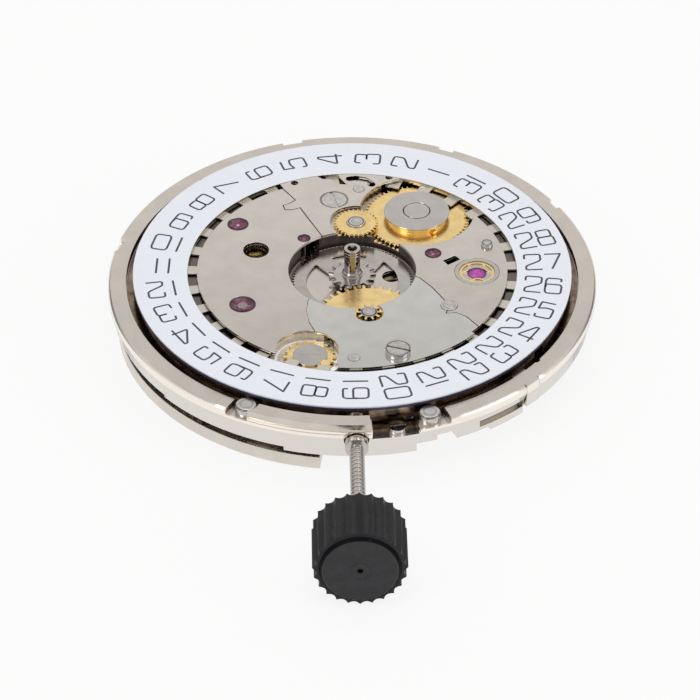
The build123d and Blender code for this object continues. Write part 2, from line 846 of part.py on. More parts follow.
def plate_holes():
    low = plate_underside - overrun
    high = boss_top + overrun
    room = arbor_radius + running_gap
    cuts = [disc(room, low, high, place) for place in (SECOND, THIRD, PALLET, BALANCE)]
    cuts.append(disc(barrel_arbor_radius + running_gap, low, high, BARREL))
    cuts.append(disc(pivot_radius + jewel_play, low, shock_seat_floor / 2 + thin_gap, ESCAPE))
    cuts.append(disc(centre_tube_bore, low, centre_tube_top + overrun))
    cuts.append(disc(recess_hole_radius, low, high, polar(recess_hole_reach, recess_hole_turn)))
    shank_low = bridge_top - overrun
    for share in bridge_screw_shares:
        place = at_share(bridge_radius, share)
        cuts.append(disc(shank_radius + press_gap, shank_low, plate_underside - overrun, place))
    for place in (FLAT_SCREW, TALL_SCREW):
        cuts.append(disc(shank_radius + press_gap, low, high, place))
    cuts.append(disc(shank_radius + press_gap, -2 * overrun, high, LEVER_SCREW))
    cuts.append(disc(dial_post_radius, low, high, DIAL_POST))
    for turn in clamp_screw_turns:
        place = polar(clamp_screw_reach, turn)
        cuts.append(disc(shank_radius + press_gap, low, high, place))
        cuts.append(disc(dome_screw_radius + side_gap, rim_notch_floor, high, place))
    for turn in dial_foot_turns:
        cuts.append(disc(dial_foot_radius, -dial_foot_depth, high, polar(dial_foot_reach, turn)))
    return cuts


def stem_block():
    # The solid part under the plate that guides the stem, with the room for its pinions
    half = half_block_width()
    front = keyless_window_front + stem_block_wall
    corners = [(-half, front), (-half, -wall_inner), (half, -wall_inner), (half, front)]
    return prism(corners, stem_block_low, plate_underside)


def stem_room():
    front = stem_inner_end + overrun
    cuts = [
        along_stem(keyless_window_radius, keyless_window_front, keyless_window_back),
        along_stem(stem_radius + running_gap, keyless_window_back + overrun, -flange_radius - overrun),
        along_stem(stem_collar_radius + running_gap, -wall_inner - overrun, -flange_radius - overrun),
        along_stem(stem_pilot_radius + jewel_play, front, keyless_window_front - overrun),
    ]
    lever_room = lever_thickness + 2 * running_gap
    slot_length = half_block_width()
    for place_y, travel in ((sliding_groove_place, sliding_travel), (stem_groove_place, -crown_pull)):
        slot = Box(slot_length, abs(travel) + lever_width + 2 * side_gap, lever_room)
        middle_x = slot_length / 2 + stem_groove_radius
        cuts.append(Pos(middle_x, place_y + travel / 2, lever_top - lever_thickness / 2) * slot)
    return cuts


def half_block_width():
    return keyless_window_radius + stem_block_side


def rim_additions():
    return [sector(pad_inner, pad_outer, pad_turns, flange_height / 2, pad_top)]


def radial_bar(inner_reach, outer_reach, width, low, high):
    inner = polar(inner_reach, radial_block_turn)
    outer = polar(outer_reach, radial_block_turn)
    return bar(inner, outer, width, low, high)


def radial_block():
    return radial_bar(
        flange_radius - radial_block_length, flange_radius - press_gap, radial_block_width,
        radial_block_low, flange_height,
    )


def radial_cuts():
    # A groove at each side of the radial block, the room under it and a notch beside it
    outer = flange_radius + overrun
    groove = radial_block_width + 2 * radial_groove_width
    inner = flange_radius - radial_groove_depth
    cuts = [radial_bar(inner, outer, groove, -overrun, flange_height + overrun)]
    foot = case_fit_radius - wall_slot_depth
    cuts.append(radial_bar(foot, outer, radial_block_width, wall_deep - overrun, radial_block_low))
    cuts.append(sector(inner - side_gap, outer, radial_notch_turns, radial_notch_low, radial_notch_high))
    return cuts


def seat_blocks():
    # The ledges inside the wall that the bridges are screwed to
    low, high = bridge_top, plate_underside / 2
    outer = wall_inner + overrun
    seats = [sector(bridge_seat_inner, outer, turns, low, high) for turns in bridge_seat_turns]
    return seats + [sector(cock_seat_inner, outer, cock_seat_turns, low, high)]


def make_main_plate():
    plate = plate_blank() + stem_block() + rim_additions()
    plate -= wall_cuts() + rim_cuts() + radial_cuts() + dial_side_pockets()
    plate += [seconds_tube(), radial_block()] + seat_blocks()
    return plate - (plate_holes() + stem_room())


def make_date_ring():
    body = collar(ring_outer, ring_inner, ring_low, ring_top)
    pitch = full_turn / ring_tooth_count
    half = ring_tooth_share * pitch / 2
    top = ring_low + ring_tooth_thickness
    teeth = []
    for tooth in range(ring_tooth_count):
        middle = ring_phase + tooth * pitch
        turns = (middle - half, middle + half)
        teeth.append(sector(ring_tip_radius, ring_inner + overrun, turns, ring_low, top))
    return body + teeth


def seam(shares):
    points = [at_share(cover_radius, share) for share in shares]
    strips = []
    for start, end in zip(points, points[1:]):
        strips.append(round_bar(start, end, seam_width, boss_top - overrun, cover_top + overrun))
    return strips


def cover_windows(low, high):
    # The oblong hole by the shock setting and the two windows over the jumper
    oblong = raised(Rectangle(oblong_hole_length, oblong_hole_width), low, high)
    cuts = [Pos(OBLONG_HOLE[0], OBLONG_HOLE[1], 0) * Rot(0, 0, oblong_hole_turn) * oblong]
    cuts.append(prism([at_share(cover_radius, share) for share in jumper_window_shares], low, high))
    slot = [at_share(cover_radius, share) for share in jumper_slot_shares]
    for start, end in zip(slot, slot[1:]):
        cuts.append(round_bar(start, end, jumper_slot_width, low, high))
    return cuts


def cover_holes():
    low, high = boss_top - overrun, cover_top + overrun
    holes = [
        disc(centre_recess_radius, low, high),
        disc(date_pocket_radius, low, high, DATE_DRIVE),
        disc(calendar_hole_radius, low, high, CALENDAR),
        disc(outer_radius(minute_pinion_teeth, minute_pinion_module) + side_gap, low, high, MINUTE),
        disc(corrector_recess_radius, low, high, CORRECTOR_RECESS),
        disc(setting_hole_radius, low, high, SETTING_HOLE),
        disc(shock_outer_radius + press_gap, low, high, BALANCE),
        disc(flat_screw_radius + press_gap, low, high, FLAT_SCREW),
        disc(shank_radius + press_gap, low, high, TALL_SCREW),
        disc(dial_post_radius + press_gap, low, high, DIAL_POST),
        disc(date_post_radius + press_gap, low, high, DATE_POST),
        disc(date_post_radius + press_gap, low, high, CRESCENT_POST),
        disc(stacked_post_radius + press_gap, low, high, STACKED_POST),
    ]
    for radius, place in jewel_seats():
        holes.append(disc(radius + press_gap, low, high, place))
    for share in edge_notch_shares:
        holes.append(disc(edge_notch_radius, low, high, at_share(cover_radius, share)))
    return holes + cover_windows(low, high)


def jewel_seats():
    return list(zip(jewel_seat_radii, (SECOND, BARREL, THIRD, PALLET)))


def largest(shape, count):
    return sorted(shape.solids(), key=lambda solid: -solid.volume)[:count]


def make_covers():
    blank = disc(cover_radius, boss_top, cover_top)
    blank += sector(cover_radius / 2, minute_cover_radius, minute_cover_turns, boss_top, cover_top)
    blank += sector(cover_radius / 2, ring_inner - ring_play, upper_cover_turns, boss_top, cover_top)
    cut = blank - cover_holes()
    for shares in (upper_seam_shares, left_seam_shares, right_seam_shares):
        cut -= seam(shares)
    return largest(cut, 4)


def seconds_tube():
    return disc(centre_tube_radius, plate_underside, centre_tube_top)


def make_date_driving_wheel():
    wheel = gear(date_driving_teeth, date_module, date_wheel_low, date_wheel_top, DATE_DRIVE)
    hub_top = date_disc_top - date_disc_thickness
    hub = disc(date_hub_radius, date_wheel_low, hub_top, DATE_DRIVE)
    tip = polar(date_finger_length, date_finger_turn, DATE_DRIVE)
    finger = bar(DATE_DRIVE, tip, date_finger_width, ring_low, ring_low + ring_tooth_thickness)
    room_top = date_disc_top - 2 * date_disc_thickness
    stud_room = disc(date_stud_radius + jewel_play, 0, room_top, DATE_DRIVE)
    return wheel + hub + finger - stud_room


def make_date_driving_disc():
    plate = disc(date_disc_radius, date_disc_top - date_disc_thickness, date_disc_top, DATE_DRIVE)
    inner = date_disc_groove_radius - date_disc_groove_width
    groove = collar(date_disc_groove_radius, inner, date_disc_top, date_disc_top + overrun, DATE_DRIVE)
    floor = date_disc_top - date_disc_groove_depth
    ring = disc(date_disc_groove_radius, floor, date_disc_top + overrun, DATE_DRIVE)
    ring -= disc(inner, floor - overrun, date_disc_top + 2 * overrun, DATE_DRIVE)
    return plate - ring - groove


def make_intermediate_date_wheel():
    top = calendar_wheel_low + calendar_wheel_thickness
    root = calendar_wheel_radius * wheel_root_share
    wheel = toothed(calendar_wheel_teeth, calendar_wheel_radius, root, calendar_wheel_low, top, CALENDAR)
    low = date_wheel_low - running_gap / 2
    high = calendar_wheel_low
    wheel += gear(date_pinion_teeth, date_module, low, high, CALENDAR, calendar_pinion_phase)
    return wheel - disc(calendar_core_radius + jewel_play, 0, cover_top + overrun, CALENDAR)


def make_date_corrector_wheel():
    root = corrector_radius * corrector_root_share
    wheel = toothed(corrector_teeth, corrector_radius, root, corrector_low, corrector_top, CORRECTOR)
    pin_place = polar(corrector_pin_reach, corrector_pin_turn, CORRECTOR)
    wheel += disc(corrector_pin_radius, corrector_top, ring_low - thin_gap, pin_place)
    return wheel - disc(corrector_stud_radius + jewel_play, 0, cover_top, CORRECTOR)


def make_date_corrector_disc():
    top = corrector_top + corrector_disc_thickness
    plate = disc(corrector_disc_radius, corrector_top, top, CORRECTOR)
    pin_place = polar(corrector_pin_reach, corrector_pin_turn, CORRECTOR)
    plate -= disc(corrector_pin_radius + press_gap, 0, top + overrun, pin_place)
    middle = corrector_top + corrector_disc_thickness / 2
    plate -= disc(corrector_stud_radius + jewel_play, 0, middle, CORRECTOR)
    slot_depth = corrector_disc_thickness / 3
    return slotted(plate, CORRECTOR, corrector_disc_radius / 2, top, slot_depth, corrector_slot_turn)


def make_date_jumper():
    low = ring_low
    high = ring_low + jumper_thickness
    reach = math.dist(JUMPER_PIVOT, JUMPER_NOSE)
    heading = direction(JUMPER_PIVOT, JUMPER_NOSE)
    middle = polar(reach / 2, heading - jumper_bow, JUMPER_PIVOT)
    blade = round_bar(JUMPER_PIVOT, middle, jumper_width, low, high)
    blade += round_bar(middle, JUMPER_NOSE, jumper_width / 2, low, high)
    blade += disc(jumper_pivot_radius, low, high, JUMPER_PIVOT)
    return blade - disc(lever_stud_radius + jewel_play, low - overrun, high + overrun, JUMPER_PIVOT)


def make_cannon_pinion():
    body = disc(cannon_hub_radius, cannon_low, cannon_leaf_low)
    body += gear(cannon_teeth, cannon_module, cannon_leaf_low, cannon_leaf_top)
    body += disc(cannon_tube_radius, cannon_leaf_top, cannon_tube_top)
    return body - disc(centre_tube_radius + jewel_play, 0, cannon_tube_top + overrun)


def make_cannon_driving_wheel():
    high = cannon_low + drive_wheel_thickness
    wheel = gear(drive_wheel_teeth, drive_module, cannon_low, high)
    hub = cannon_hub_radius + drive_hub_width
    spoke = drive_spoke_width
    wheel -= spoke_windows(drive_rim_inner, hub, spoke, cannon_low, high, CENTRE, drive_spoke_turns)
    return wheel - disc(cannon_hub_radius + press_gap, 0, high + overrun)


def make_minute_wheel():
    top = minute_wheel_low + minute_wheel_thickness
    wheel = gear(minute_wheel_teeth, cannon_module, minute_wheel_low, top, MINUTE, minute_wheel_phase)
    wheel += gear(minute_pinion_teeth, minute_pinion_module, top, minute_pinion_top, MINUTE)
    return wheel - disc(minute_core_radius + jewel_play, 0, minute_pinion_top + overrun, MINUTE)


def make_setting_wheel():
    top = minute_wheel_low + minute_wheel_thickness
    wheel = gear(setting_wheel_teeth, cannon_module, minute_wheel_low, top, SETTING, setting_wheel_phase)
    return wheel - disc(lever_stud_radius + jewel_play, 0, top + overrun, SETTING)


def make_winding_stem():
    stem = along_stem(stem_pilot_radius, stem_inner_end, stem_inner_end - stem_pilot_length)
    square_front = stem_inner_end - stem_pilot_length
    square = Box(stem_square, square_front - stem_square_end, stem_square)
    stem += Pos(0, (square_front + stem_square_end) / 2, stem_height) * square
    stem += along_stem(stem_radius, stem_square_end, stem_groove_place + stem_groove_length / 2)
    front = stem_groove_place + stem_groove_length
    stem += along_stem(stem_groove_radius, front, stem_groove_place - stem_groove_length)
    stem += along_stem(stem_radius, stem_groove_place - stem_groove_length / 2, stem_collar_place)
    collar_front = stem_collar_place + stem_collar_length / 2
    stem += along_stem(stem_collar_radius, collar_front, collar_front - stem_collar_length)
    core = stem_thread_radius - stem_thread_depth
    stem += along_stem(core, stem_collar_place, stem_thread_end)
    turns = round((stem_thread_start - stem_thread_end) / stem_thread_pitch)
    for turn in range(turns):
        front = stem_thread_start - turn * stem_thread_pitch
        stem += along_stem(stem_thread_radius, front, front - stem_thread_pitch / 2)
    return stem + along_stem(stem_neck_radius, stem_thread_end, (crown_back + crown_front) / 2)


def make_crown():
    body = along_stem(crown_radius, crown_back, crown_front)
    body = chamfer(body.edges().filter_by(GeomType.CIRCLE), crown_edge)
    flutes = []
    for flute in range(crown_flutes):
        place_x, place_z = polar(crown_radius + crown_flute_radius / 3, flute * full_turn / crown_flutes)
        rod = along_stem(crown_flute_radius, crown_back + overrun, crown_front - overrun)
        flutes.append(Pos(place_x, 0, place_z) * rod)
    body -= flutes
    body -= along_stem(crown_face_radius, crown_front + crown_face_depth, crown_front - overrun)
    floor = crown_front + crown_face_depth
    body += along_stem(crown_mark_radius, floor, floor - crown_mark_height)
    bore_end = (crown_back + crown_front) / 2 - side_gap
    return body - along_stem(stem_neck_radius + press_gap, crown_back + overrun, bore_end)


def upright_gear(teeth, tip_radius, root_radius, front, back):
    outline = prism(tooth_points(teeth, tip_radius, root_radius, 0), 0, front - back)
    return Pos(0, front, stem_height) * Rot(90, 0, 0) * outline


def make_winding_pinion():
    root = winding_pinion_radius * pinion_root_share
    front, back = winding_pinion_front, winding_pinion_back
    body = upright_gear(winding_pinion_leaves, winding_pinion_radius, root, front, back)
    return body - along_stem(stem_radius + jewel_play, front + overrun, back - overrun)


def make_sliding_pinion():
    tip = sliding_pinion_radius
    root = tip * pinion_root_share
    front_end = sliding_groove_place + sliding_groove_length / 2
    back_start = sliding_groove_place - sliding_groove_length / 2
    front, back = sliding_pinion_front, sliding_pinion_back
    body = upright_gear(sliding_pinion_leaves, tip, root, front, front_end)
    body += upright_gear(sliding_pinion_leaves, tip, root, back_start, back)
    body += along_stem(sliding_groove_radius, front - side_gap, back + side_gap)
    bore = stem_square / math.sqrt(2) + jewel_play
    return body - along_stem(bore, front + overrun, back - overrun)


def lever_tip(place_y, groove_radius):
    return (groove_radius + side_gap, place_y)


def make_lever(pivot, tip):
    low = lever_top - lever_thickness
    waist = (tip[0] + (pivot[0] - tip[0]) / 3, tip[1])
    lever = disc(lever_pivot_radius, low, lever_top, pivot)
    lever += bar(pivot, waist, lever_width / 2, low, lever_top)
    lever += bar(waist, tip, lever_tip_width, low, lever_top)
    lever += disc(lever_width / 3, low, lever_top, waist)
    return lever - disc(lever_stud_radius + jewel_play, low - overrun, lever_top + overrun, pivot)


def make_setting_lever():
    pivot = at_share(bridge_radius, setting_lever_share)
    return make_lever(pivot, lever_tip(stem_groove_place, stem_groove_radius))


def make_yoke():
    pivot = at_share(bridge_radius, yoke_share)
    return make_lever(pivot, lever_tip(sliding_groove_place, sliding_groove_radius))


def make_barrel_drum():
    teeth_top = barrel_low + barrel_tooth_height
    drum = gear(barrel_teeth, barrel_module, barrel_low, teeth_top, BARREL, barrel_phase)
    wall_top = barrel_top - barrel_cover_thickness
    drum += disc(barrel_drum_radius, teeth_top, wall_top, BARREL)
    drum -= disc(barrel_drum_radius - barrel_wall, barrel_low + barrel_floor, wall_top + overrun, BARREL)
    return drum - disc(barrel_arbor_radius + jewel_play, barrel_low - overrun, barrel_top, BARREL)


def make_barrel_cover():
    low = barrel_top - barrel_cover_thickness
    return collar(barrel_drum_radius, barrel_arbor_radius + jewel_play, low, barrel_top, BARREL)


def make_barrel_arbor():
    core_low = barrel_low + barrel_floor + thin_gap
    core_high = barrel_top - barrel_cover_thickness - thin_gap
    arbor = disc(barrel_core_radius, core_low, core_high, BARREL)
    arbor_low = ratchet_top - ratchet_thickness
    arbor += disc(barrel_arbor_radius, arbor_low, plate_underside + boss_top / 2, BARREL)
    return arbor + disc(barrel_pivot_radius, plate_underside, cover_top - cover_thickness / 2, BARREL)


def make_mainspring():
    low = barrel_low + barrel_floor + thin_gap
    high = barrel_top - barrel_cover_thickness - thin_gap
    coil = (mainspring_inner, mainspring_pitch, mainspring_half_turns, mainspring_thickness)
    print_spiral_gap("mainspring", *coil)
    return spiral_strip(*coil, low, high, BARREL)


def make_ratchet_wheel():
    low = ratchet_top - ratchet_thickness
    wheel = gear(ratchet_teeth, winding_module, low, ratchet_top, BARREL)
    return wheel - disc(barrel_arbor_radius + press_gap, low - overrun, ratchet_top + overrun, BARREL)


def make_ratchet_screw():
    seat = ratchet_top - ratchet_thickness
    low = seat - bridge_screw_height
    head = disc(ratchet_screw_radius, low, seat, BARREL)
    slot_depth = slot_depth_share * bridge_screw_height
    return slotted(head, BARREL, ratchet_screw_radius, low, slot_depth, ratchet_slot_turn)


def make_crown_wheel():
    low = ratchet_top - ratchet_thickness
    wheel = gear(crown_wheel_teeth, winding_module, low, ratchet_top, CROWN_WHEEL, crown_wheel_phase)
    wheel += disc(crown_wheel_core_radius, ratchet_top, contrate_top, CROWN_WHEEL)
    contrate_outer = contrate_radius + contrate_width / 2
    root = contrate_outer - contrate_width
    contrate_low = bridge_top + jewel_play
    wheel += toothed(contrate_teeth, contrate_outer, root, contrate_low, contrate_top, CROWN_WHEEL)
    slot_depth = ratchet_thickness / 3
    return slotted(wheel, CROWN_WHEEL, crown_wheel_core_radius, low, slot_depth, crown_wheel_slot_turn)


def make_click():
    low = ratchet_top - click_thickness
    ratchet_tip = outer_radius(ratchet_teeth, winding_module) + running_gap
    nose = polar(ratchet_tip + jumper_width / 4, direction(BARREL, CLICK_PIVOT) + click_lead, BARREL)
    click = round_bar(CLICK_PIVOT, nose, jumper_width / 2, low, ratchet_top)
    click += disc(click_radius, low, ratchet_top, CLICK_PIVOT)
    return click - disc(shank_radius + jewel_play, low - overrun, ratchet_top + overrun, CLICK_PIVOT)


def bridge_blank():
    blank = disc(bridge_radius, bridge_low, bridge_top)
    blank -= disc(balance_window_radius, bridge_low - overrun, bridge_top + overrun, BALANCE)
    low, high = bridge_low - overrun, bridge_top + overrun
    blank -= sector(balance_clear_inner, bridge_radius + overrun, balance_clear_turns, low, high)
    return blank


def bridge_holes():
    low, high = bridge_low - overrun, bridge_top + overrun
    seat = bridge_low + bearing_jewel_height
    holes = []
    for share in bridge_screw_shares + auto_foot_shares:
        holes.append(disc(shank_radius + press_gap, low, high, at_share(bridge_radius, share)))
    holes.append(disc(shank_radius + press_gap, low, high, CLICK_PIVOT))
    for place in bearing_places():
        holes.append(disc(bearing_jewel_radius + press_gap, low, seat, place))
        holes.append(disc(arbor_radius + running_gap, low, high, place))
    for place in (REDUCTION, REVERSING_A, REVERSING_B):
        holes.append(disc(arbor_radius + jewel_play, low, high, place))
    holes.append(disc(barrel_arbor_radius + jewel_play, low, high, BARREL))
    holes.append(disc(crown_wheel_core_radius + jewel_play, low, high, CROWN_WHEEL))
    return holes


def make_bridges():
    points = [at_share(bridge_radius, share) for share in bridge_seam_shares]
    strips = []
    for start, end in zip(points, points[1:]):
        strips.append(round_bar(start, end, bridge_gap, bridge_low - overrun, bridge_top + overrun))
    cut = bridge_blank() - (bridge_holes() + strips)
    return sorted(largest(cut, 2), key=lambda solid: solid.center().Y)


def bearing_places():
    return (SECOND, THIRD, CENTRE, ESCAPE)


def train_arbor(place, top, top_pivot):
    low = bridge_low + bearing_jewel_height + thin_gap
    pivot = disc(pivot_radius, bridge_low + thin_gap, top_pivot, place)
    return disc(arbor_radius, low, top, place) + pivot


def spoked_disc(teeth, tooth_module, low, place, phase):
    hub = arbor_radius + train_hub_width
    high = low + train_disc_thickness
    spokes = (train_spokes, train_spoke_width, train_spoke_turn)
    return spoked_gear(teeth, tooth_module, low, high, place, phase, hub, *spokes)


def make_second_wheel():
    wheel = spoked_disc(second_wheel_teeth, second_module, second_disc_low, SECOND, second_wheel_phase)
    low = barrel_low - pinion_face_margin
    high = barrel_low + barrel_tooth_height + pinion_face_margin
    wheel += gear(second_pinion_teeth, barrel_module, low, high, SECOND)
    return wheel + train_arbor(SECOND, plate_underside + boss_top / 2, cover_top - cover_thickness / 2)


def make_third_wheel():
    wheel = spoked_disc(third_wheel_teeth, third_module, third_disc_low, THIRD, third_wheel_phase)
    pinion_low = second_disc_low - pinion_face_margin / 2
    wheel += gear(third_pinion_teeth, second_module, pinion_low, third_disc_low, THIRD)
    high = cannon_low + drive_wheel_thickness + pinion_face_margin
    wheel += gear(drive_pinion_teeth, drive_module, cannon_low, high, THIRD, drive_pinion_phase)
    return wheel + train_arbor(THIRD, boss_top / 2, cover_top - cover_thickness / 2)


def make_seconds_wheel():
    wheel = spoked_disc(seconds_wheel_teeth, escape_module, seconds_disc_low, CENTRE, 0)
    pinion_low = third_disc_low - pinion_face_margin / 2
    wheel += gear(seconds_pinion_teeth, third_module, pinion_low, seconds_disc_low, CENTRE)
    wheel += train_arbor(CENTRE, plate_underside - thin_gap, 0)
    wheel += disc(pivot_radius, plate_underside - running_gap, cannon_tube_top)
    return wheel + disc(seconds_tip_radius, cannon_tube_top, seconds_tip_top)


def escape_points():
    points = []
    pitch = full_turn / escape_teeth
    root = escape_root_share * escape_radius
    for tooth in range(escape_teeth):
        start = tooth * pitch
        points.append(polar(root, start))
        points.append(polar(escape_radius, start + escape_lean_share * pitch))
        points.append(polar(root, start + escape_heel_share * pitch))
    return points


def make_escape_wheel():
    high = escape_disc_low + train_disc_thickness
    wheel = Pos(ESCAPE[0], ESCAPE[1], 0) * prism(escape_points(), escape_disc_low, high)
    rim_inner = escape_radius * escape_rim_share
    hub = arbor_radius + train_hub_width / 2
    spoke = train_spoke_width / 2
    wheel -= spoke_windows(rim_inner, hub, spoke, escape_disc_low, high, ESCAPE, escape_spoke_turns)
    pinion_high = seconds_disc_low + train_disc_thickness + pinion_face_margin / 2
    pinion_low = seconds_disc_low - pinion_face_margin
    pinion = (escape_pinion_teeth, escape_module, pinion_low, pinion_high)
    wheel += gear(*pinion, ESCAPE, escape_pinion_phase)
    return wheel + train_arbor(ESCAPE, plate_underside - thin_gap, shock_seat_floor / 2)


def stone_places():
    inward = direction(ESCAPE, PALLET)
    reach = escape_radius + pallet_stone_length / 2 + thin_gap
    return [polar(reach, inward + side * pallet_spread, ESCAPE) for side in (-1, 1)]


def make_pallet_fork():
    low, high = escape_disc_low, escape_disc_low + train_disc_thickness
    heading = direction(PALLET, BALANCE)
    end = polar(pallet_lever_length, heading, PALLET)
    fork = bar(PALLET, end, pallet_lever_width, low, high) + disc(pallet_hub_radius, low, high, PALLET)
    for stone in stone_places():
        outer = polar(pallet_stone_length / 2, direction(ESCAPE, stone), stone)
        fork += round_bar(PALLET, outer, pallet_arm_width, low, high)
    for stone in stone_places():
        heading_in = direction(stone, ESCAPE)
        start = polar(-pallet_stone_length / 2, heading_in, stone)
        fork -= bar(start, ESCAPE, pallet_stone_width + 2 * press_gap, low - overrun, high + overrun)
    slot_ends = (polar(-pallet_stone_length, heading, end), polar(overrun, heading, end))
    fork -= bar(*slot_ends, fork_slot_width, low - overrun, high + overrun)
    fork += disc(pivot_radius, pallet_bridge_low + thin_gap, cover_top - cover_thickness / 2, PALLET)
    return fork.solids().sort_by(SortBy.VOLUME)[-1]


def make_pallet_stones():
    low, high = escape_disc_low, escape_disc_low + train_disc_thickness
    stones = []
    for stone in stone_places():
        heading = direction(ESCAPE, stone)
        inner = polar(-pallet_stone_length / 2, heading, stone)
        outer = polar(pallet_stone_length / 2 - press_gap, heading, stone)
        stones.append(bar(inner, outer, pallet_stone_width, low, high))
    return Compound(children=stones)


def make_pallet_bridge():
    high = pallet_bridge_low + pallet_bridge_thickness
    feet = [at_share(bridge_radius, share) for share in pallet_foot_shares]
    bridge = disc(pallet_boss_radius, pallet_bridge_low, high, PALLET)
    for foot in feet:
        bridge += bar(PALLET, foot, pallet_boss_radius, pallet_bridge_low, high)
        bridge += disc(pallet_foot_radius, pallet_bridge_low, plate_underside, foot)
    return bridge - disc(pivot_radius + jewel_play, pallet_bridge_low - overrun, high + overrun, PALLET)


def make_balance_wheel():
    high = balance_low + balance_thickness
    wheel = disc(balance_radius, balance_low, high, BALANCE)
    rim_inner = balance_radius - balance_rim_width
    turns = [balance_arm_turn + arm * full_turn / balance_arms for arm in range(balance_arms)]
    arms = (balance_hub_radius, balance_spoke_width)
    wheel -= spoke_windows(rim_inner, *arms, balance_low, high, BALANCE, turns)
    return wheel - disc(staff_radius + press_gap, balance_low - overrun, high + overrun, BALANCE)


def make_balance_staff():
    roller_low = impulse_pin_top - impulse_pin_height - roller_thickness
    staff = disc(staff_radius, back_shock_top + thin_gap, roller_low, BALANCE)
    staff += disc(roller_radius, roller_low, roller_low + roller_thickness, BALANCE)
    pin_place = polar(impulse_pin_reach, direction(BALANCE, PALLET), BALANCE)
    staff += disc(impulse_pin_radius, roller_low, impulse_pin_top, pin_place)
    staff += disc(arbor_radius, roller_low, shock_seat_floor + thin_gap, BALANCE)
    seat_radius = staff_radius + staff_radius / 2
    wheel_top = balance_low + balance_thickness
    staff += disc(seat_radius, wheel_top, wheel_top + side_gap, BALANCE)
    collet_radius = hairspring_inner - hairspring_thickness
    hairspring_top = balance_low - hairspring_drop
    collet_low = hairspring_top - hairspring_height - press_gap
    staff += disc(collet_radius, collet_low, hairspring_top + press_gap, BALANCE)
    top_end = shock_seat_floor + shock_floor_thickness + shock_jewel_thickness
    low_end = back_shock_top - shock_floor_thickness - shock_jewel_thickness
    return staff + disc(staff_pivot_radius, low_end, top_end, BALANCE)


def make_hairspring():
    high = balance_low - hairspring_drop
    print_spiral_gap(
        "hairspring", hairspring_inner, hairspring_pitch, hairspring_half_turns, hairspring_thickness,
    )
    return spiral_strip(
        hairspring_inner, hairspring_pitch, hairspring_half_turns, hairspring_thickness,
        high - hairspring_height, high, BALANCE,
    )


def make_balance_cock():
    foot = at_share(bridge_radius, bridge_screw_shares[-1])
    cock = bar(BALANCE, (bridge_radius, foot[1]), cock_width, bridge_low, bridge_top)
    cock += disc(cock_width / 2, bridge_low, bridge_top, BALANCE)
    cock &= disc(bridge_radius, bridge_low - overrun, bridge_top + overrun)
    cock -= disc(back_shock_radius + press_gap, bridge_low - overrun, bridge_top + overrun, BALANCE)
    return cock - disc(shank_radius + press_gap, bridge_low - overrun, bridge_top + overrun, foot)


def make_regulator():
    high = bridge_low - thin_gap
    low = high - regulator_thickness
    inner = back_shock_radius + thin_gap
    regulator = disc(inner + regulator_width, low, high, BALANCE)
    tip = polar(regulator_length, regulator_turn, BALANCE)
    regulator += round_bar(BALANCE, tip, regulator_width, low, high)
    return regulator - disc(inner, low - overrun, high + overrun, BALANCE)


def shock_block(outer, ring_width, floor, sign, depth):
    # A cup with a drilled floor; sign is 1 for the dial side and -1 for the back
    span = sorted((floor, floor + sign * depth))
    cup = disc(outer, span[0], span[1], BALANCE)
    bowl = sorted((floor + sign * shock_floor_thickness, floor + sign * (depth + overrun)))
    cup -= disc(outer - ring_width, bowl[0], bowl[1], BALANCE)
    return cup - disc(arbor_radius + jewel_play, span[0] - overrun, span[1] + overrun, BALANCE)


def make_shock_blocks():
    depth = cover_top - shock_seat_floor
    front = shock_block(shock_outer_radius, shock_ring_width, shock_seat_floor, 1, depth)
    step = sorted((shock_seat_floor, cover_top - shock_ring_width / 2))
    inner = shock_jewel_radius + press_gap
    front += collar(shock_outer_radius - press_gap, inner, step[0] + press_gap, step[1], BALANCE)
    back = shock_block(back_shock_radius, shock_ring_width, back_shock_top, -1, back_shock_depth)
    back_span = (back_shock_top - back_shock_depth + shock_ring_width / 2, back_shock_top - press_gap)
    back += collar(back_shock_radius - press_gap, inner, back_span[0], back_span[1], BALANCE)
    return Compound(children=[front, back])


def shock_jewel_pair(floor, sign):
    first = floor + sign * shock_floor_thickness
    second = first + sign * shock_jewel_thickness
    third = second + sign * thin_gap
    fourth = third + sign * shock_jewel_thickness
    low, high = sorted((first, second))
    hole_jewel = disc(shock_jewel_radius, low, high, BALANCE)
    hole_jewel -= disc(staff_pivot_radius + jewel_play, low - overrun, high + overrun, BALANCE)
    cap = disc(shock_jewel_radius, min(third, fourth), max(third, fourth), BALANCE)
    return [hole_jewel, cap]


def make_shock_jewels():
    pieces = shock_jewel_pair(shock_seat_floor, 1) + shock_jewel_pair(back_shock_top, -1)
    return Compound(children=pieces)


def shock_spring(low, inner_step):
    # A ring with wavy lobes that reach in towards the jewel
    high = low + shock_spring_thickness
    outer = shock_outer_radius - shock_ring_width - inner_step
    spring = collar(outer, outer - shock_spring_width, low, high, BALANCE)
    ring_reach = outer - shock_spring_width / 2
    tip_reach = shock_jewel_radius + side_gap / 2
    for lobe in range(shock_spring_lobes):
        middle = shock_spring_turn + lobe * full_turn / shock_spring_lobes
        turns = [middle + side * spread for side, spread in lobe_sides]
        reaches = (ring_reach, tip_reach, tip_reach, ring_reach)
        points = [polar(reach, turn, BALANCE) for reach, turn in zip(reaches, turns)]
        for start, end in zip(points, points[1:]):
            spring += round_bar(start, end, shock_wire_width, low, high)
    return spring


def make_shock_springs():
    front_low = cover_top - shock_ring_width / 2 + press_gap
    back_high = back_shock_top - back_shock_depth + shock_ring_width / 2 - press_gap
    back_step = shock_outer_radius - back_shock_radius
    front = shock_spring(front_low, jewel_play)
    back = shock_spring(back_high - shock_spring_thickness, back_step + jewel_play)
    return Compound(children=[front, back])


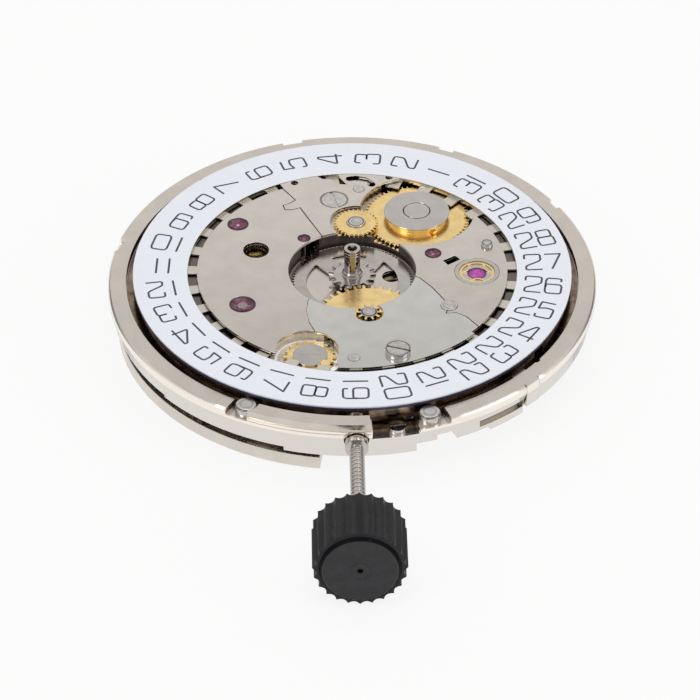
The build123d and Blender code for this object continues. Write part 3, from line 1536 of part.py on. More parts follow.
def bearing_jewel(radius, low, high, place, bore, bowl_side):
    jewel = collar(radius, bore, low, high, place)
    bowl_height = jewel_bowl_share * (high - low)
    edge = high if bowl_side > 0 else low
    bowl = Cone(radius * jewel_bowl_share, radius - jewel_rim, bowl_height)
    if bowl_side < 0:
        bowl = Rot(180, 0, 0) * bowl
    middle = edge - bowl_side * (bowl_height - press_gap) / 2
    return jewel - Pos(place[0], place[1], middle) * bowl


def make_jewel_bearings():
    jewels = []
    low, high = boss_top + press_gap, cover_top - press_gap
    for radius, place in jewel_seats():
        bore = (barrel_pivot_radius if place == BARREL else pivot_radius) + jewel_play
        jewels.append(bearing_jewel(radius, low, high, place, bore, 1))
    high = bridge_low + bearing_jewel_height
    bore = pivot_radius + jewel_play
    for place in bearing_places():
        jewels.append(bearing_jewel(bearing_jewel_radius, bridge_low, high, place, bore, -1))
    return Compound(children=jewels)


def make_automatic_bridge():
    circles = [Pos(CENTRE[0], CENTRE[1]) * Circle(auto_hull_radius)]
    for place in (REDUCTION, REVERSING_A, REVERSING_B):
        circles.append(Pos(place[0], place[1]) * Circle(auto_boss_radius))
    outline = [circle.edges()[0] for circle in circles]
    bridge = raised(make_hull(outline), auto_bridge_low, auto_bridge_top)
    feet = [at_share(bridge_radius, share) for share in auto_foot_shares]
    for start, foot in zip((CENTRE, CENTRE, REVERSING_A), feet):
        bridge += bar(start, foot, auto_foot_radius, auto_bridge_low, auto_bridge_top)
        bridge += disc(auto_foot_radius, auto_bridge_low, bridge_low, foot)
    holes = [disc(arbor_radius + jewel_play, auto_bridge_low - overrun, auto_bridge_top + overrun, place)
             for place in (REDUCTION, REVERSING_A, REVERSING_B)]
    low, high = auto_bridge_low - overrun, bridge_low + overrun
    holes += [disc(shank_radius + press_gap, low, high, foot) for foot in feet]
    return bridge - holes


def make_reversing_gear(place, phase):
    low = auto_outer_top - auto_gear_thickness
    wheel = gear(reversing_upper_teeth, rotor_module, low, auto_outer_top, place, phase)
    return wheel - disc(arbor_radius + jewel_play, low - overrun, auto_outer_top + overrun, place)


def make_reversing_pinion(place, phase):
    high = auto_inner_low + auto_gear_thickness
    pinion = gear(reversing_lower_teeth, reduction_module, auto_inner_low, high, place, phase)
    low = auto_outer_top - auto_gear_thickness
    return pinion + disc(arbor_radius, low, bridge_low + bearing_jewel_height, place)


def make_reduction_wheel():
    high = auto_inner_low + auto_gear_thickness
    wheel = gear(reduction_wheel_teeth, reduction_module, auto_inner_low, high, REDUCTION)
    low = ratchet_top - ratchet_thickness - pinion_face_margin / 2
    pinion = (reduction_pinion_teeth, winding_module, low, ratchet_top)
    wheel += gear(*pinion, REDUCTION, reduction_pinion_phase)
    arbor_high = bridge_low + bearing_jewel_height
    return wheel + disc(arbor_radius, auto_bridge_low + thin_gap, arbor_high, REDUCTION)


def make_rotor_plate():
    low = rotor_web_top - rotor_web_thickness
    turns = (rotor_first_turn, rotor_last_turn)
    web = sector(rotor_axle_radius + side_gap, rotor_rim_inner - jewel_play, turns, low, rotor_web_top)
    web += disc(rotor_hub_radius, low, rotor_web_top)
    span = rotor_last_turn - rotor_first_turn
    for window in range(rotor_windows):
        middle = rotor_first_turn + span * (window + 0.5) / rotor_windows
        half = rotor_window_share * span / rotor_windows / 2
        inner = rotor_hub_radius + rotor_window_margin
        outer = rotor_rim_inner - rotor_lip_width - rotor_window_margin
        turns = (middle - half, middle + half)
        web -= sector(inner, outer, turns, low - overrun, rotor_web_top + overrun)
    return web - disc(rotor_axle_radius + jewel_play, low - overrun, rotor_web_top + overrun)


def make_rotor_weight():
    turns = (rotor_first_turn, rotor_last_turn)
    rim = sector(rotor_rim_inner, rotor_radius, turns, rotor_rim_low, rotor_rim_top)
    web_low = rotor_web_top - rotor_web_thickness
    lip_inner = rotor_rim_inner - rotor_lip_width
    return rim + sector(lip_inner, rotor_rim_inner + side_gap, turns, rotor_rim_low, web_low)


def make_rotor_gear():
    low = auto_outer_top - auto_gear_thickness
    wheel = gear(rotor_gear_teeth, rotor_module, low, auto_outer_top)
    wheel += disc(rotor_axle_radius + 2 * rotor_lip_width / 3, rotor_web_top, low)
    return wheel - disc(rotor_axle_radius + jewel_play, rotor_web_top - overrun, auto_outer_top + overrun)


def make_rotor_axle():
    web_low = rotor_web_top - rotor_web_thickness
    axle = disc(rotor_axle_radius, web_low - thin_gap, auto_bridge_low)
    axle += disc(rotor_screw_radius, rotor_axle_low, web_low - thin_gap)
    slot_depth = (web_low - thin_gap - rotor_axle_low) / 2
    return slotted(axle, CENTRE, rotor_screw_radius, rotor_axle_low, slot_depth, axle_slot_turn)


def dome_screw(place):
    seat = rim_notch_floor
    head = disc(dome_screw_radius, seat, flange_height + dome_screw_height / 2, place)
    head = fillet(head.edges().group_by(Axis.Z)[-1], dome_screw_height / 2)
    return head + disc(shank_radius, plate_underside, seat, place)


def make_plate_screws():
    seat_end = boss_top / 2
    flat_top = cover_top - press_gap
    screws = [screw(FLAT_SCREW, flat_screw_radius, boss_top, flat_top, seat_end, flat_slot_turn)]
    tall_top = cover_top + tall_screw_height
    screws.append(screw(TALL_SCREW, tall_screw_radius, cover_top, tall_top, 0, tall_slot_turn))
    lever_top_z = stem_window_floor + tall_screw_height
    lever_end = -2 * overrun
    lever_span = (stem_window_floor, lever_top_z, lever_end)
    screws.append(screw(LEVER_SCREW, small_screw_radius, *lever_span, lever_slot_turn))
    for number, share in enumerate(bridge_screw_shares):
        place = at_share(bridge_radius, share)
        shank_end = bridge_top + overrun
        top = bridge_low - bridge_screw_height
        turn = bridge_slot_turn * number
        screws.append(screw(place, bridge_screw_radius, bridge_low, top, shank_end, turn))
    for number, share in enumerate(auto_foot_shares):
        place = at_share(bridge_radius, share)
        top = auto_bridge_low - bridge_screw_height
        shank_end = bridge_low + bridge_thickness / 2
        turn = auto_slot_turn * number
        screws.append(screw(place, bridge_screw_radius, auto_bridge_low, top, shank_end, turn))
    click_seat = ratchet_top - click_thickness
    click_end = click_seat - bridge_screw_height
    click_span = (click_seat, click_end, bridge_top)
    screws.append(screw(CLICK_PIVOT, small_screw_radius, *click_span, click_slot_turn))
    for turn in clamp_screw_turns:
        screws.append(dome_screw(polar(clamp_screw_reach, turn)))
    return Compound(children=screws)


def make_dial_posts():
    seat = boss_top
    posts = [disc(dial_post_radius, plate_underside + side_gap, dial_post_top, DIAL_POST)]
    posts.append(disc(date_post_radius, seat, cover_top + date_post_height, DATE_POST))
    crescent = disc(date_post_radius, seat, cover_top + date_post_height, CRESCENT_POST)
    posts.append(crescent)
    stack = disc(stacked_post_radius, channel_floor, cover_top + stacked_post_height / 2, STACKED_POST)
    stack_top = cover_top + stacked_post_height
    stack += disc(stacked_post_radius * stack_share, channel_floor, stack_top, STACKED_POST)
    posts.append(stack)
    return Compound(children=posts + wheel_studs())


def wheel_studs():
    low = minute_wheel_low - running_gap
    studs = [disc(minute_core_radius, low, minute_pinion_top + jewel_play, MINUTE)]
    studs.append(disc(calendar_core_radius, date_pocket_floor, cover_top - press_gap, CALENDAR))
    stud_top = date_disc_top - 3 * date_disc_thickness
    studs.append(disc(date_stud_radius, date_pocket_floor, stud_top, DATE_DRIVE))
    studs.append(disc(corrector_stud_radius, corrector_recess_floor, corrector_top, CORRECTOR))
    studs.append(disc(lever_stud_radius, low, ring_low - running_gap, SETTING))
    low = ring_low - running_gap
    studs.append(disc(lever_stud_radius, low, ring_low + jumper_thickness, JUMPER_PIVOT))
    for share in (setting_lever_share, yoke_share):
        place = at_share(bridge_radius, share)
        studs.append(disc(lever_stud_radius, lever_top - lever_thickness, plate_underside, place))
    return studs


def make_nodes():
    left_cover, minute_cover, balance_cover, date_cover = make_covers()
    barrel_bridge, train_bridge = make_bridges()
    return {
        "main_plate": make_main_plate(),
        "date_ring": make_date_ring(),
        "left_cover_plate": left_cover,
        "minute_train_cover": minute_cover,
        "balance_cover_plate": balance_cover,
        "date_cover_plate": date_cover,
        "date_jumper": make_date_jumper(),
        "date_driving_wheel": make_date_driving_wheel(),
        "date_driving_disc": make_date_driving_disc(),
        "intermediate_date_wheel": make_intermediate_date_wheel(),
        "date_corrector_wheel": make_date_corrector_wheel(),
        "date_corrector_disc": make_date_corrector_disc(),
        "minute_wheel": make_minute_wheel(),
        "cannon_pinion": make_cannon_pinion(),
        "cannon_driving_wheel": make_cannon_driving_wheel(),
        "setting_wheel": make_setting_wheel(),
        "winding_stem": make_winding_stem(),
        "crown": make_crown(),
        "winding_pinion": make_winding_pinion(),
        "sliding_pinion": make_sliding_pinion(),
        "setting_lever": make_setting_lever(),
        "yoke": make_yoke(),
        "barrel_drum": make_barrel_drum(),
        "barrel_cover": make_barrel_cover(),
        "barrel_arbor": make_barrel_arbor(),
        "mainspring": make_mainspring(),
        "ratchet_wheel": make_ratchet_wheel(),
        "ratchet_screw": make_ratchet_screw(),
        "crown_wheel": make_crown_wheel(),
        "click": make_click(),
        "barrel_bridge": barrel_bridge,
        "train_bridge": train_bridge,
        "second_wheel": make_second_wheel(),
        "third_wheel": make_third_wheel(),
        "seconds_wheel": make_seconds_wheel(),
        "escape_wheel": make_escape_wheel(),
        "pallet_fork": make_pallet_fork(),
        "pallet_stones": make_pallet_stones(),
        "pallet_bridge": make_pallet_bridge(),
        "balance_wheel": make_balance_wheel(),
        "balance_staff": make_balance_staff(),
        "hairspring": make_hairspring(),
        "balance_cock": make_balance_cock(),
        "regulator": make_regulator(),
        "shock_blocks": make_shock_blocks(),
        "shock_jewels": make_shock_jewels(),
        "shock_springs": make_shock_springs(),
        "jewel_bearings": make_jewel_bearings(),
        "automatic_bridge": make_automatic_bridge(),
        "reversing_gear_a": make_reversing_gear(REVERSING_A, upper_a_phase),
        "reversing_gear_b": make_reversing_gear(REVERSING_B, upper_b_phase),
        "reversing_pinion_a": make_reversing_pinion(REVERSING_A, lower_a_phase),
        "reversing_pinion_b": make_reversing_pinion(REVERSING_B, lower_b_phase),
        "reduction_wheel": make_reduction_wheel(),
        "rotor_plate": make_rotor_plate(),
        "rotor_weight": make_rotor_weight(),
        "rotor_gear": make_rotor_gear(),
        "rotor_axle": make_rotor_axle(),
        "plate_screws": make_plate_screws(),
        "dial_posts": make_dial_posts(),
    }


os.makedirs("parts", exist_ok=True)
for name, shape in make_nodes().items():
    export_step(shape, "parts/" + name + ".step")
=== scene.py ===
import json
import math

import bmesh
import bpy
from mathutils import Matrix, Vector


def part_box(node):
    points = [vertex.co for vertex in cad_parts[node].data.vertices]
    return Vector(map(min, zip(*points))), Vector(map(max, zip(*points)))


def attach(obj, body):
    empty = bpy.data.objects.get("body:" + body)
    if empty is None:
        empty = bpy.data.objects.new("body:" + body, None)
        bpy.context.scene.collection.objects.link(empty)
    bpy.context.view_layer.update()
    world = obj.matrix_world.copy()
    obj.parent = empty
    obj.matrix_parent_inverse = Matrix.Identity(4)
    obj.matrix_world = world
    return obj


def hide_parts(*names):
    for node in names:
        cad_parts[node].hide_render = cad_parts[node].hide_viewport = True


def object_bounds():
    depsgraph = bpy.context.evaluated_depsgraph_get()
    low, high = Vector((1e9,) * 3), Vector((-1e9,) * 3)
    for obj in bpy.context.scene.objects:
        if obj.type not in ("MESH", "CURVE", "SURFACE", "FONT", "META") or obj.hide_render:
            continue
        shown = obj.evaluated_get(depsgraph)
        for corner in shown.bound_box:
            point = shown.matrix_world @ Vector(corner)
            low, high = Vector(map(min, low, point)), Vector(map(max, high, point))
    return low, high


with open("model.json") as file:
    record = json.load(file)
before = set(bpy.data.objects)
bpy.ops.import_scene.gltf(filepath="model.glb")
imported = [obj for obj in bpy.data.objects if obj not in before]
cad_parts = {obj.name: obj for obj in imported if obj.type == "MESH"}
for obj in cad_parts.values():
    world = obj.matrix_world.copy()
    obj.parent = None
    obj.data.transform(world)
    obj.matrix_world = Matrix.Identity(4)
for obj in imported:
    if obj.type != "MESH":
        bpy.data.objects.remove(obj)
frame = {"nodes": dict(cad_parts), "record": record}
nodes = frame["nodes"]
cad_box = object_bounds()
mm = 0.001

# The photograph's view
photo_size = 700
photo_turn = math.radians(-91.0)
photo_elevation = math.radians(36.94)
photo_distance = 226.5 * mm
photo_aim = Vector((0, 0, 1.0 * mm))
photo_focal_pixels = 4238
photo_middle = (352.2, 269.3)
sensor = 36.0
nearest_seen = 0.01
farthest_seen = 10

# Places on the movement, in millimetres
centre_axis = (0, 0, 0)
corrector_recess = (-2.480, -6.962, 0)
oblong_hole = (5.337, 0.739, 0)
oblong_hole_radius = 0.55
recess_hole = (2.115, 0.606, 0)
recess_hole_radius = 0.52
hole_edge = 0.03
shock_jewel = (6.66, -0.31, 0)
shock_jewel_radius = 0.50
ringed_screw_radius = 0.60
screw_places = [
    ((-0.88, 6.358, 0), 0.775), ((2.258, -7.196, 0), 0.675), ((2.105, -12.018, 0), 0.45),
    ((7.287, 2.009, 0), 0.30), ((-5.641, -10.930, 0), 0.60), ((3.780, -11.705, 0), 0.60),
    ((0.280, 4.350, 0), 0.46), ((0.8205, -3.8012, 0), 0.42),
]
jewel_places = [
    ((-6.1205, 4.1902, 0), 0.565), ((-5.8505, -2.9697, 0), 0.69), ((-2.5502, 2.8602, 0), 0.34),
    ((4.37, 1.3797, 0), 0.44),
]

# Where the main plate and the date ring change their tone, their painted sheen and their painted shade, in
# millimetres: from one value to the next
flange_side_reach, flange_side_height = (12.95, 13.0), (0.42, 0.47)
wall_side_reach, wall_side_height = (12.4, 12.5), (-0.03, 0.0)
under_teeth_reach = (9.0, 9.1)
beside_recess_reach = (1.90, 1.94)
bore_reach, bore_height = (0.27, 0.30), (0.9, 1.0)
oblong_hole_height = (0.82, 0.83)
lacquer_reach, lacquer_edge_height = (8.80, 8.83), (0.86, 0.93)

# Bands of painted shade and painted highlight on the main plate, in millimetres: start, full, last and end
channel_reach, channel_height = (7.9, 8.0, 12.04, 12.1), (-0.6, -0.3, 0.62, 0.72)
recess_wall_reach, recess_wall_height = (3.30, 3.38, 3.44, 3.50), (0.05, 0.08, 0.83, 0.85)
lip_reach, lip_height = (1.55, 1.62, 1.90, 1.94), (0.05, 0.10, 0.83, 0.86)
recess_hole_height = (-0.09, -0.08, 0.02, 0.03)

# The same kind of bands from a disc's groove (painted shade), from a screw's edge and ring (painted reflections) and
# from a jewel's rim (painted shade), in millimetres, and as shares of a radius
groove_band = (-0.04, -0.02, 0.015, 0.03)
screw_rim_band = (-0.11, -0.08, -0.03, -0.01)
screw_ring_shares = (0.42, 0.50, 0.56, 0.64)
jewel_rim_shade_shares = (0.55, 0.9, 1.1, 1.2)
core_edge_share = 1.04

# Where the crown's face changes its tone and its step its painted shade, in millimetres from the face and from the
# shoulder
crown_face_band = (0.03, 0.06)
crown_step_band = (-0.02, -0.012)

# The crown, in millimetres
crown_teeth = 24
crown_steps = 6
crown_tooth_depth = 0.17
crown_tooth_power = 0.8
crown_radius = 2.38
crown_back = -19.72
crown_front = -23.04
crown_height = -0.30
crown_rim_radius = 2.08
crown_face_radius = 1.86
crown_face_step = 0.22
crown_back_edge, crown_back_share = 0.10, 0.90
crown_shoulder_edge, crown_shoulder_share = 0.07, 0.985
crown_step_edge = 0.02
crown_face_edge = 0.04
crown_ring_outer, crown_ring_inner = 0.56, 0.47
crown_ring_slope, crown_ring_depth = 0.03, 0.02
dimple_radius, dimple_floor_radius, dimple_depth = 0.16, 0.10, 0.14
crown_smooth_under = 24.0

# The numbers on the date ring, in millimetres and degrees
full_turn = 360
stem_turn = -90
ring_top = 0.98
number_count = 31
number_at_stem = 19
number_height = 1.32
number_width = 0.86
number_stroke = 0.115
number_rise = 0.012
number_reach = 10.25
digit_advance = 1.10
one_advance = 0.66
one_lead = 0.22
corner_round = 0.45

# The centre tube: pairs of reach and height, in millimetres
cannon_profile = [
    (0.31, 1.9), (0.31, 2.39), (0.34, 2.418), (0.41, 2.418), (0.436, 2.39), (0.436, 2.26),
    (0.452, 2.24), (0.452, 2.19), (0.434, 2.17), (0.434, 2.10), (0.448, 2.08), (0.448, 2.03),
    (0.434, 2.01), (0.434, 0.98), (0.50, 0.92), (0.50, 0.80), (0.56, 0.76), (0.56, 0.705),
]
lathe_steps = 48

# The widths of eased edges, in millimetres
fine_edge = 0.012
tube_edge = 0.015
usual_edge = 0.02
wide_edge = 0.03
post_edge = 0.05
screw_edge = 0.07

# In degrees: edges over the first angle are eased, and faces that meet under the second are joined first
sharp_over = 35.0
flat_under = 0.6

# Faces whose normal points up or down by more than this are shaded flat
upright_normal = 0.9995

# Colours
nickel = (0.66, 0.615, 0.57)
cool_nickel = (0.67, 0.67, 0.645)
plate_nickel = (0.66, 0.61, 0.56)
turned_nickel = (0.55, 0.515, 0.485)
disc_nickel = (0.545, 0.52, 0.50)
cannon_nickel = (0.56, 0.52, 0.49)
tube_nickel = (0.40, 0.36, 0.34)
steel = (0.56, 0.53, 0.50)
dark_steel = (0.34, 0.31, 0.29)
core_steel = (0.50, 0.47, 0.45)
# Painted shade over the middle of the third wheel, in its pocket
core_shade = (0.2, 0.18, 0.17)
gilt = (0.963, 0.72, 0.33)
pale_gilt = (0.93, 0.70, 0.36)
# Painted shade: gilt wheels that lie in shadow under the plates, painted dark brown
second_wheel_shade = (0.22, 0.17, 0.11)
seconds_wheel_shade = (0.30, 0.24, 0.15)
barrel_cream = (0.72, 0.66, 0.56)
heavy = (0.72, 0.67, 0.61)
# Painted sheen: the sides of the plate's flange and wall are painted lighter than its top, for the white floor they
# mirror
flange_side_sheen = (0.93, 0.86, 0.78)
wall_side_sheen = (0.74, 0.705, 0.66)
# Painted shade in the channel under the ring: mottled brown to dark, and a painted shadow, darkest, under the ring's
# teeth
channel_shade_brown, channel_shade_dark = (0.34, 0.25, 0.18), (0.12, 0.09, 0.07)
under_teeth_shadow = (0.035, 0.03, 0.028)
# Painted shade on the wall of the centre recess, mottled dark to grey
recess_shade_dark, recess_shade_grey = (0.06, 0.05, 0.045), (0.20, 0.175, 0.16)
# A painted highlight, near white, on the corrector recess's wall
lip_highlight = (0.95, 0.93, 0.90)
# Painted shade, black, inside the oblong hole and the recess's hole
hole_shade_black = (0.012, 0.012, 0.012)
# Painted shade, black, in the plate's centre bore
bore_shade_black = (0.02, 0.02, 0.02)
# Painted shade, near black, in a disc's groove
groove_shade_black = (0.05, 0.045, 0.045)
lacquer_white, lacquer_pale = (0.80, 0.83, 0.92), (0.83, 0.85, 0.93)
# Painted shade, near black, on the lacquered ring's sides, next to the gaps around it
lacquer_side_shade = (0.035, 0.035, 0.075)
ring_metal = (0.62, 0.58, 0.52)
ink, ink_deep, ink_thin = (0.035, 0.037, 0.045), (0.03, 0.032, 0.04), (0.07, 0.072, 0.085)
# Ruby colours for the bearings and for the shock jewel: the deep colour, a painted glint, and painted shade at a
# jewel's rim
crimson, crimson_glint, crimson_rim_shade = (0.14, 0.015, 0.06), (0.40, 0.13, 0.25), (0.03, 0.002, 0.012)
shock_red, shock_glint, shock_rim_shade = (0.42, 0.04, 0.34), (0.70, 0.20, 0.62), (0.16, 0.01, 0.12)
plastic, plastic_deep, plastic_worn = (0.008, 0.0085, 0.0105), (0.007, 0.0075, 0.010), (0.015, 0.016, 0.020)
face_deep, face_worn = (0.022, 0.022, 0.025), (0.034, 0.033, 0.037)
# Painted shade, near black, on the step between the crown's body and its face
step_shade_black = (0.004, 0.004, 0.005)
speck_grey = (0.14, 0.15, 0.16)
pit_grey, pit_bright = (0.50, 0.48, 0.47), (0.62, 0.60, 0.575)
# Painted reflections: the dark rim and ring that a domed screw head mirrors
screw_rim_reflection, screw_ring_reflection = (0.10, 0.09, 0.09), (0.20, 0.19, 0.19)

# Strengths of the screws' painted reflections, matt places and specular levels, as shares
screw_rim_strength, screw_ring_strength = 0.8, 0.45
recess_wall_matt, lip_matt = 0.4, 0.5
face_shine, step_shine = 0.30, 0.06

# The size of a pattern's grains and the pitch of turning lines, in millimetres
hair_size, hair_stretch = 0.05, (9, 1, 1)
brush_size, brush_stretch = 0.035, (14, 1, 1)
polish_dust, lathe_dust, plate_dust = 0.16, 0.12, 0.1
lathe_pitch, plate_pitch, rotor_pitch = 0.05, 0.045, 0.09
polish_cloud, tube_cloud, lathe_cloud, disc_cloud = 1.2, 0.5, 0.6, 0.9
plate_cloud, channel_shade_cloud, recess_shade_cloud = 1.6, 0.5, 2.2
lacquer_cloud, lacquer_dust, lacquer_skin = 0.9, 0.05, 0.06
ink_cloud, ink_dust = 0.08, 0.04
jewel_glint_size, jewel_dust = 0.22, 0.1
plastic_scuff, plastic_speck, plastic_skin = 0.7, 0.09, 0.035
steel_pit, steel_dust = 0.26, 0.1

# How rough a noise is, and the values of a noise between which a pattern goes from its first look to its second
noise_rough = 0.55
noise_range = (0.3, 0.7)
jewel_glint_range = (0.50, 0.70)
scuff_range = (0.45, 0.75)
speck_range = (0.76, 0.80)
pit_range = (0.38, 0.60)

# The roughness of a finish from its first look to its second, and as shares where each metal has its own
plate_gloss, disc_gloss, steel_gloss = (0.13, 0.24), (0.09, 0.17), (0.1, 0.2)
lacquer_gloss, ink_gloss, plastic_gloss = (0.18, 0.34), (0.4, 0.6), (0.36, 0.52)
jewel_gloss = (0.03, 0.08)
polish_gloss_shares, lathe_gloss_shares, brush_gloss_shares = (0.75, 1.35), (0.7, 1.4), (0.8, 1.3)

# How deep a metal's darker tone is, as a share of its colour
polish_deep, tube_deep, lathe_deep, disc_deep, brush_deep, plate_deep = 0.9, 0.8, 0.8, 0.88, 0.86, 0.9

# The reach of a wheel's steel core and of a disc's groove, in millimetres
wheel_core, minute_core, third_core = 0.42, 0.50, 0.9
drive_groove = 0.725

# Sockets of a colour Mix node, and how close two points are one point, in metres
mix_first, mix_second, mix_result = 6, 7, 2
weld_distance = 1e-7
node_weld_distance = 2e-7

# The studio: the floor, the sky's brightness from below to above, and the lamps' places, sizes and powers
floor_size = 1.2
floor_tone = 0.85
floor_glow_share = 0.86
sky_bands = (
    (0.0, 0.95), (0.02, 0.22), (0.16, 0.20), (0.34, 0.90), (0.575, 1.0), (0.635, 0.66), (0.86, 0.9), (1.0, 0.7),
)
sky_warmth = (1, 0.985, 0.965)
lamps = (
    ("key", (-0.13, -0.10, 0.17), 0.08, 0.05),
    ("fill", (0.16, -0.08, 0.10), 0.10, 0.04),
    ("top", (0.02, 0.10, 0.22), 0.12, 0.05),
)


def rgba(colour):
    return (colour[0], colour[1], colour[2], 1.0)


class Finish:
    """A material with one Principled shader, whose patterns are read from Object coordinates."""

    def __init__(self, name, colour, metallic, roughness, **sockets):
        self.material = bpy.data.materials.new(name)
        self.material.use_nodes = True
        self.material.diffuse_color = rgba(colour)
        self.tree = self.material.node_tree
        self.shader = self.tree.nodes["Principled BSDF"]
        self.shader.inputs["Base Color"].default_value = rgba(colour)
        self.shader.inputs["Metallic"].default_value = metallic
        self.shader.inputs["Roughness"].default_value = roughness
        for socket, value in sockets.items():
            self.shader.inputs[socket.replace("_", " ")].default_value = value
        self.place = self.node("ShaderNodeTexCoord").outputs["Object"]

    def node(self, kind, **settings):
        made = self.tree.nodes.new(kind)
        for key, value in settings.items():
            setattr(made, key, value)
        return made

    def link(self, source, target):
        if hasattr(source, "is_output"):
            self.tree.links.new(source, target)
        else:
            target.default_value = source

    def mapped(self, centre=(0, 0, 0), stretch=(1, 1, 1), turn=0.0):
        mapping = self.node("ShaderNodeMapping", vector_type="TEXTURE")
        mapping.inputs["Location"].default_value = [value * mm for value in centre]
        mapping.inputs["Rotation"].default_value = (0, 0, turn)
        mapping.inputs["Scale"].default_value = stretch
        self.link(self.place, mapping.inputs["Vector"])
        return mapping.outputs["Vector"]

    def noise(self, size, detail=3.0, vector=None):
        made = self.node("ShaderNodeTexNoise")
        made.inputs["Scale"].default_value = 1 / (size * mm)
        made.inputs["Detail"].default_value = detail
        made.inputs["Roughness"].default_value = noise_rough
        self.link(vector or self.place, made.inputs["Vector"])
        return made.outputs["Fac"]

    def rings(self, pitch, centre, wander):
        made = self.node("ShaderNodeTexWave", wave_type="RINGS", rings_direction="Z", wave_profile="SIN")
        made.inputs["Scale"].default_value = math.pi / 10 / (pitch * mm)
        made.inputs["Distortion"].default_value = wander
        made.inputs["Detail"].default_value = 1.0
        self.link(self.mapped(centre), made.inputs["Vector"])
        return made.outputs["Fac"]

    def spread(self, source, low, high, first=noise_range[0], last=noise_range[1]):
        """A value that goes from low to high while the source goes from first to last."""
        made = self.node("ShaderNodeMapRange")
        for socket, value in zip(("From Min", "From Max", "To Min", "To Max"), (first, last, low, high)):
            made.inputs[socket].default_value = value
        self.link(source, made.inputs["Value"])
        return made.outputs["Result"]

    def blend(self, share, first, second):
        made = self.node("ShaderNodeMix", data_type="RGBA")
        self.link(share, made.inputs["Factor"])
        for socket, value in ((mix_first, first), (mix_second, second)):
            self.link(value if hasattr(value, "is_output") else rgba(value), made.inputs[socket])
        return made.outputs[mix_result]

    def maths(self, operation, first, second=0.0):
        made = self.node("ShaderNodeMath", operation=operation)
        self.link(first, made.inputs[0])
        self.link(second, made.inputs[1])
        return made.outputs[0]

    def bump(self, height, depth, strength):
        made = self.node("ShaderNodeBump")
        made.inputs["Distance"].default_value = depth * mm
        made.inputs["Strength"].default_value = strength
        self.link(height, made.inputs["Height"])
        return made.outputs["Normal"]

    def clouded(self, size, first, second):
        """Two colours that blend in patches of a size, in millimetres."""
        return self.blend(self.spread(self.noise(size), 0, 1), first, second)

    def both(self, first, second):
        return self.maths("MULTIPLY", first, second)

    def beyond(self, source, start, full):
        """A share that rises from 0 at start to 1 at full, in millimetres."""
        return self.spread(source, 0, 1, start * mm, full * mm)

    def before(self, source, last, end):
        """A share that falls from 1 at last to 0 at end, in millimetres."""
        return self.spread(source, 1, 0, last * mm, end * mm)

    def within(self, source, start, full, last, end):
        """A share that is 1 between full and last and 0 outside start and end, in millimetres."""
        return self.both(self.beyond(source, start, full), self.before(source, last, end))

    def out(self, **sockets):
        for socket, value in sockets.items():
            self.link(value, self.shader.inputs[socket.replace("_", " ")])
        return self.material

    def along(self, axis):
        made = self.node("ShaderNodeSeparateXYZ")
        self.link(self.place, made.inputs["Vector"])
        return made.outputs[axis]

    def reach(self, centre=centre_axis):
        """The distance from an upright axis."""
        flat = self.node("ShaderNodeVectorMath", operation="MULTIPLY")
        self.link(self.mapped(centre), flat.inputs[0])
        flat.inputs[1].default_value = (1, 1, 0)
        made = self.node("ShaderNodeVectorMath", operation="LENGTH")
        self.link(flat.outputs[0], made.inputs[0])
        return made.outputs["Value"]


def shade(colour, share):
    return tuple(value * share for value in colour)


def polished(name, colour, roughness, cloud=polish_cloud, deep=polish_deep):
    """Polished metal with a slow change of tone, hairline scratches and a little dust in its gloss."""
    finish = Finish(name, colour, 1.0, roughness)
    tone = finish.clouded(cloud, colour, shade(colour, deep))
    hairs = finish.noise(hair_size, detail=2.0, vector=finish.mapped(stretch=hair_stretch, turn=0.5))
    gloss = finish.spread(finish.noise(polish_dust, detail=4.0), *(roughness * share for share in polish_gloss_shares))
    return finish.out(Base_Color=tone, Roughness=gloss, Normal=finish.bump(hairs, depth=0.0007, strength=0.35))


def turned(name, colour, centre, roughness=0.2, pitch=lathe_pitch, core=0.0, core_colour=core_steel):
    """Metal turned on a lathe: fine rings about its axis, a darker tone in patches, and a core of its own colour."""
    finish = Finish(name, colour, 1.0, roughness)
    tone = finish.clouded(lathe_cloud, colour, shade(colour, lathe_deep))
    if core:
        tone = finish.blend(finish.before(finish.reach(centre), core, core * core_edge_share), tone, core_colour)
    lines = finish.rings(pitch, centre, wander=0.6)
    gloss = finish.spread(finish.noise(lathe_dust), *(roughness * share for share in lathe_gloss_shares))
    return finish.out(Base_Color=tone, Roughness=gloss, Normal=finish.bump(lines, depth=0.0012, strength=0.5))


def grooved(name, centre, groove):
    """A turned disc, with painted shade, a dark ring, where a groove is cut round its middle if the groove has a
    reach.
    """
    finish = Finish(name, disc_nickel, 1.0, 0.13)
    tone = finish.clouded(disc_cloud, disc_nickel, shade(disc_nickel, disc_deep))
    if groove:
        # Painted shade: a dark ring where the groove is
        line = finish.within(finish.reach(centre), *(groove + part for part in groove_band))
        tone = finish.blend(line, tone, groove_shade_black)
    lines = finish.rings(lathe_pitch, centre, wander=0.5)
    gloss = finish.spread(finish.noise(lathe_dust), *disc_gloss)
    return finish.out(Base_Color=tone, Roughness=gloss, Normal=finish.bump(lines, depth=0.0008, strength=0.4))


def satin(name, colour, roughness):
    """Metal brushed one way."""
    finish = Finish(name, colour, 1.0, roughness)
    grain = finish.noise(brush_size, vector=finish.mapped(stretch=brush_stretch))
    tone = finish.blend(finish.spread(grain, 0, 1), colour, shade(colour, brush_deep))
    gloss = finish.spread(grain, *(roughness * share for share in brush_gloss_shares))
    return finish.out(Base_Color=tone, Roughness=gloss, Normal=finish.bump(grain, depth=0.0018, strength=0.6))


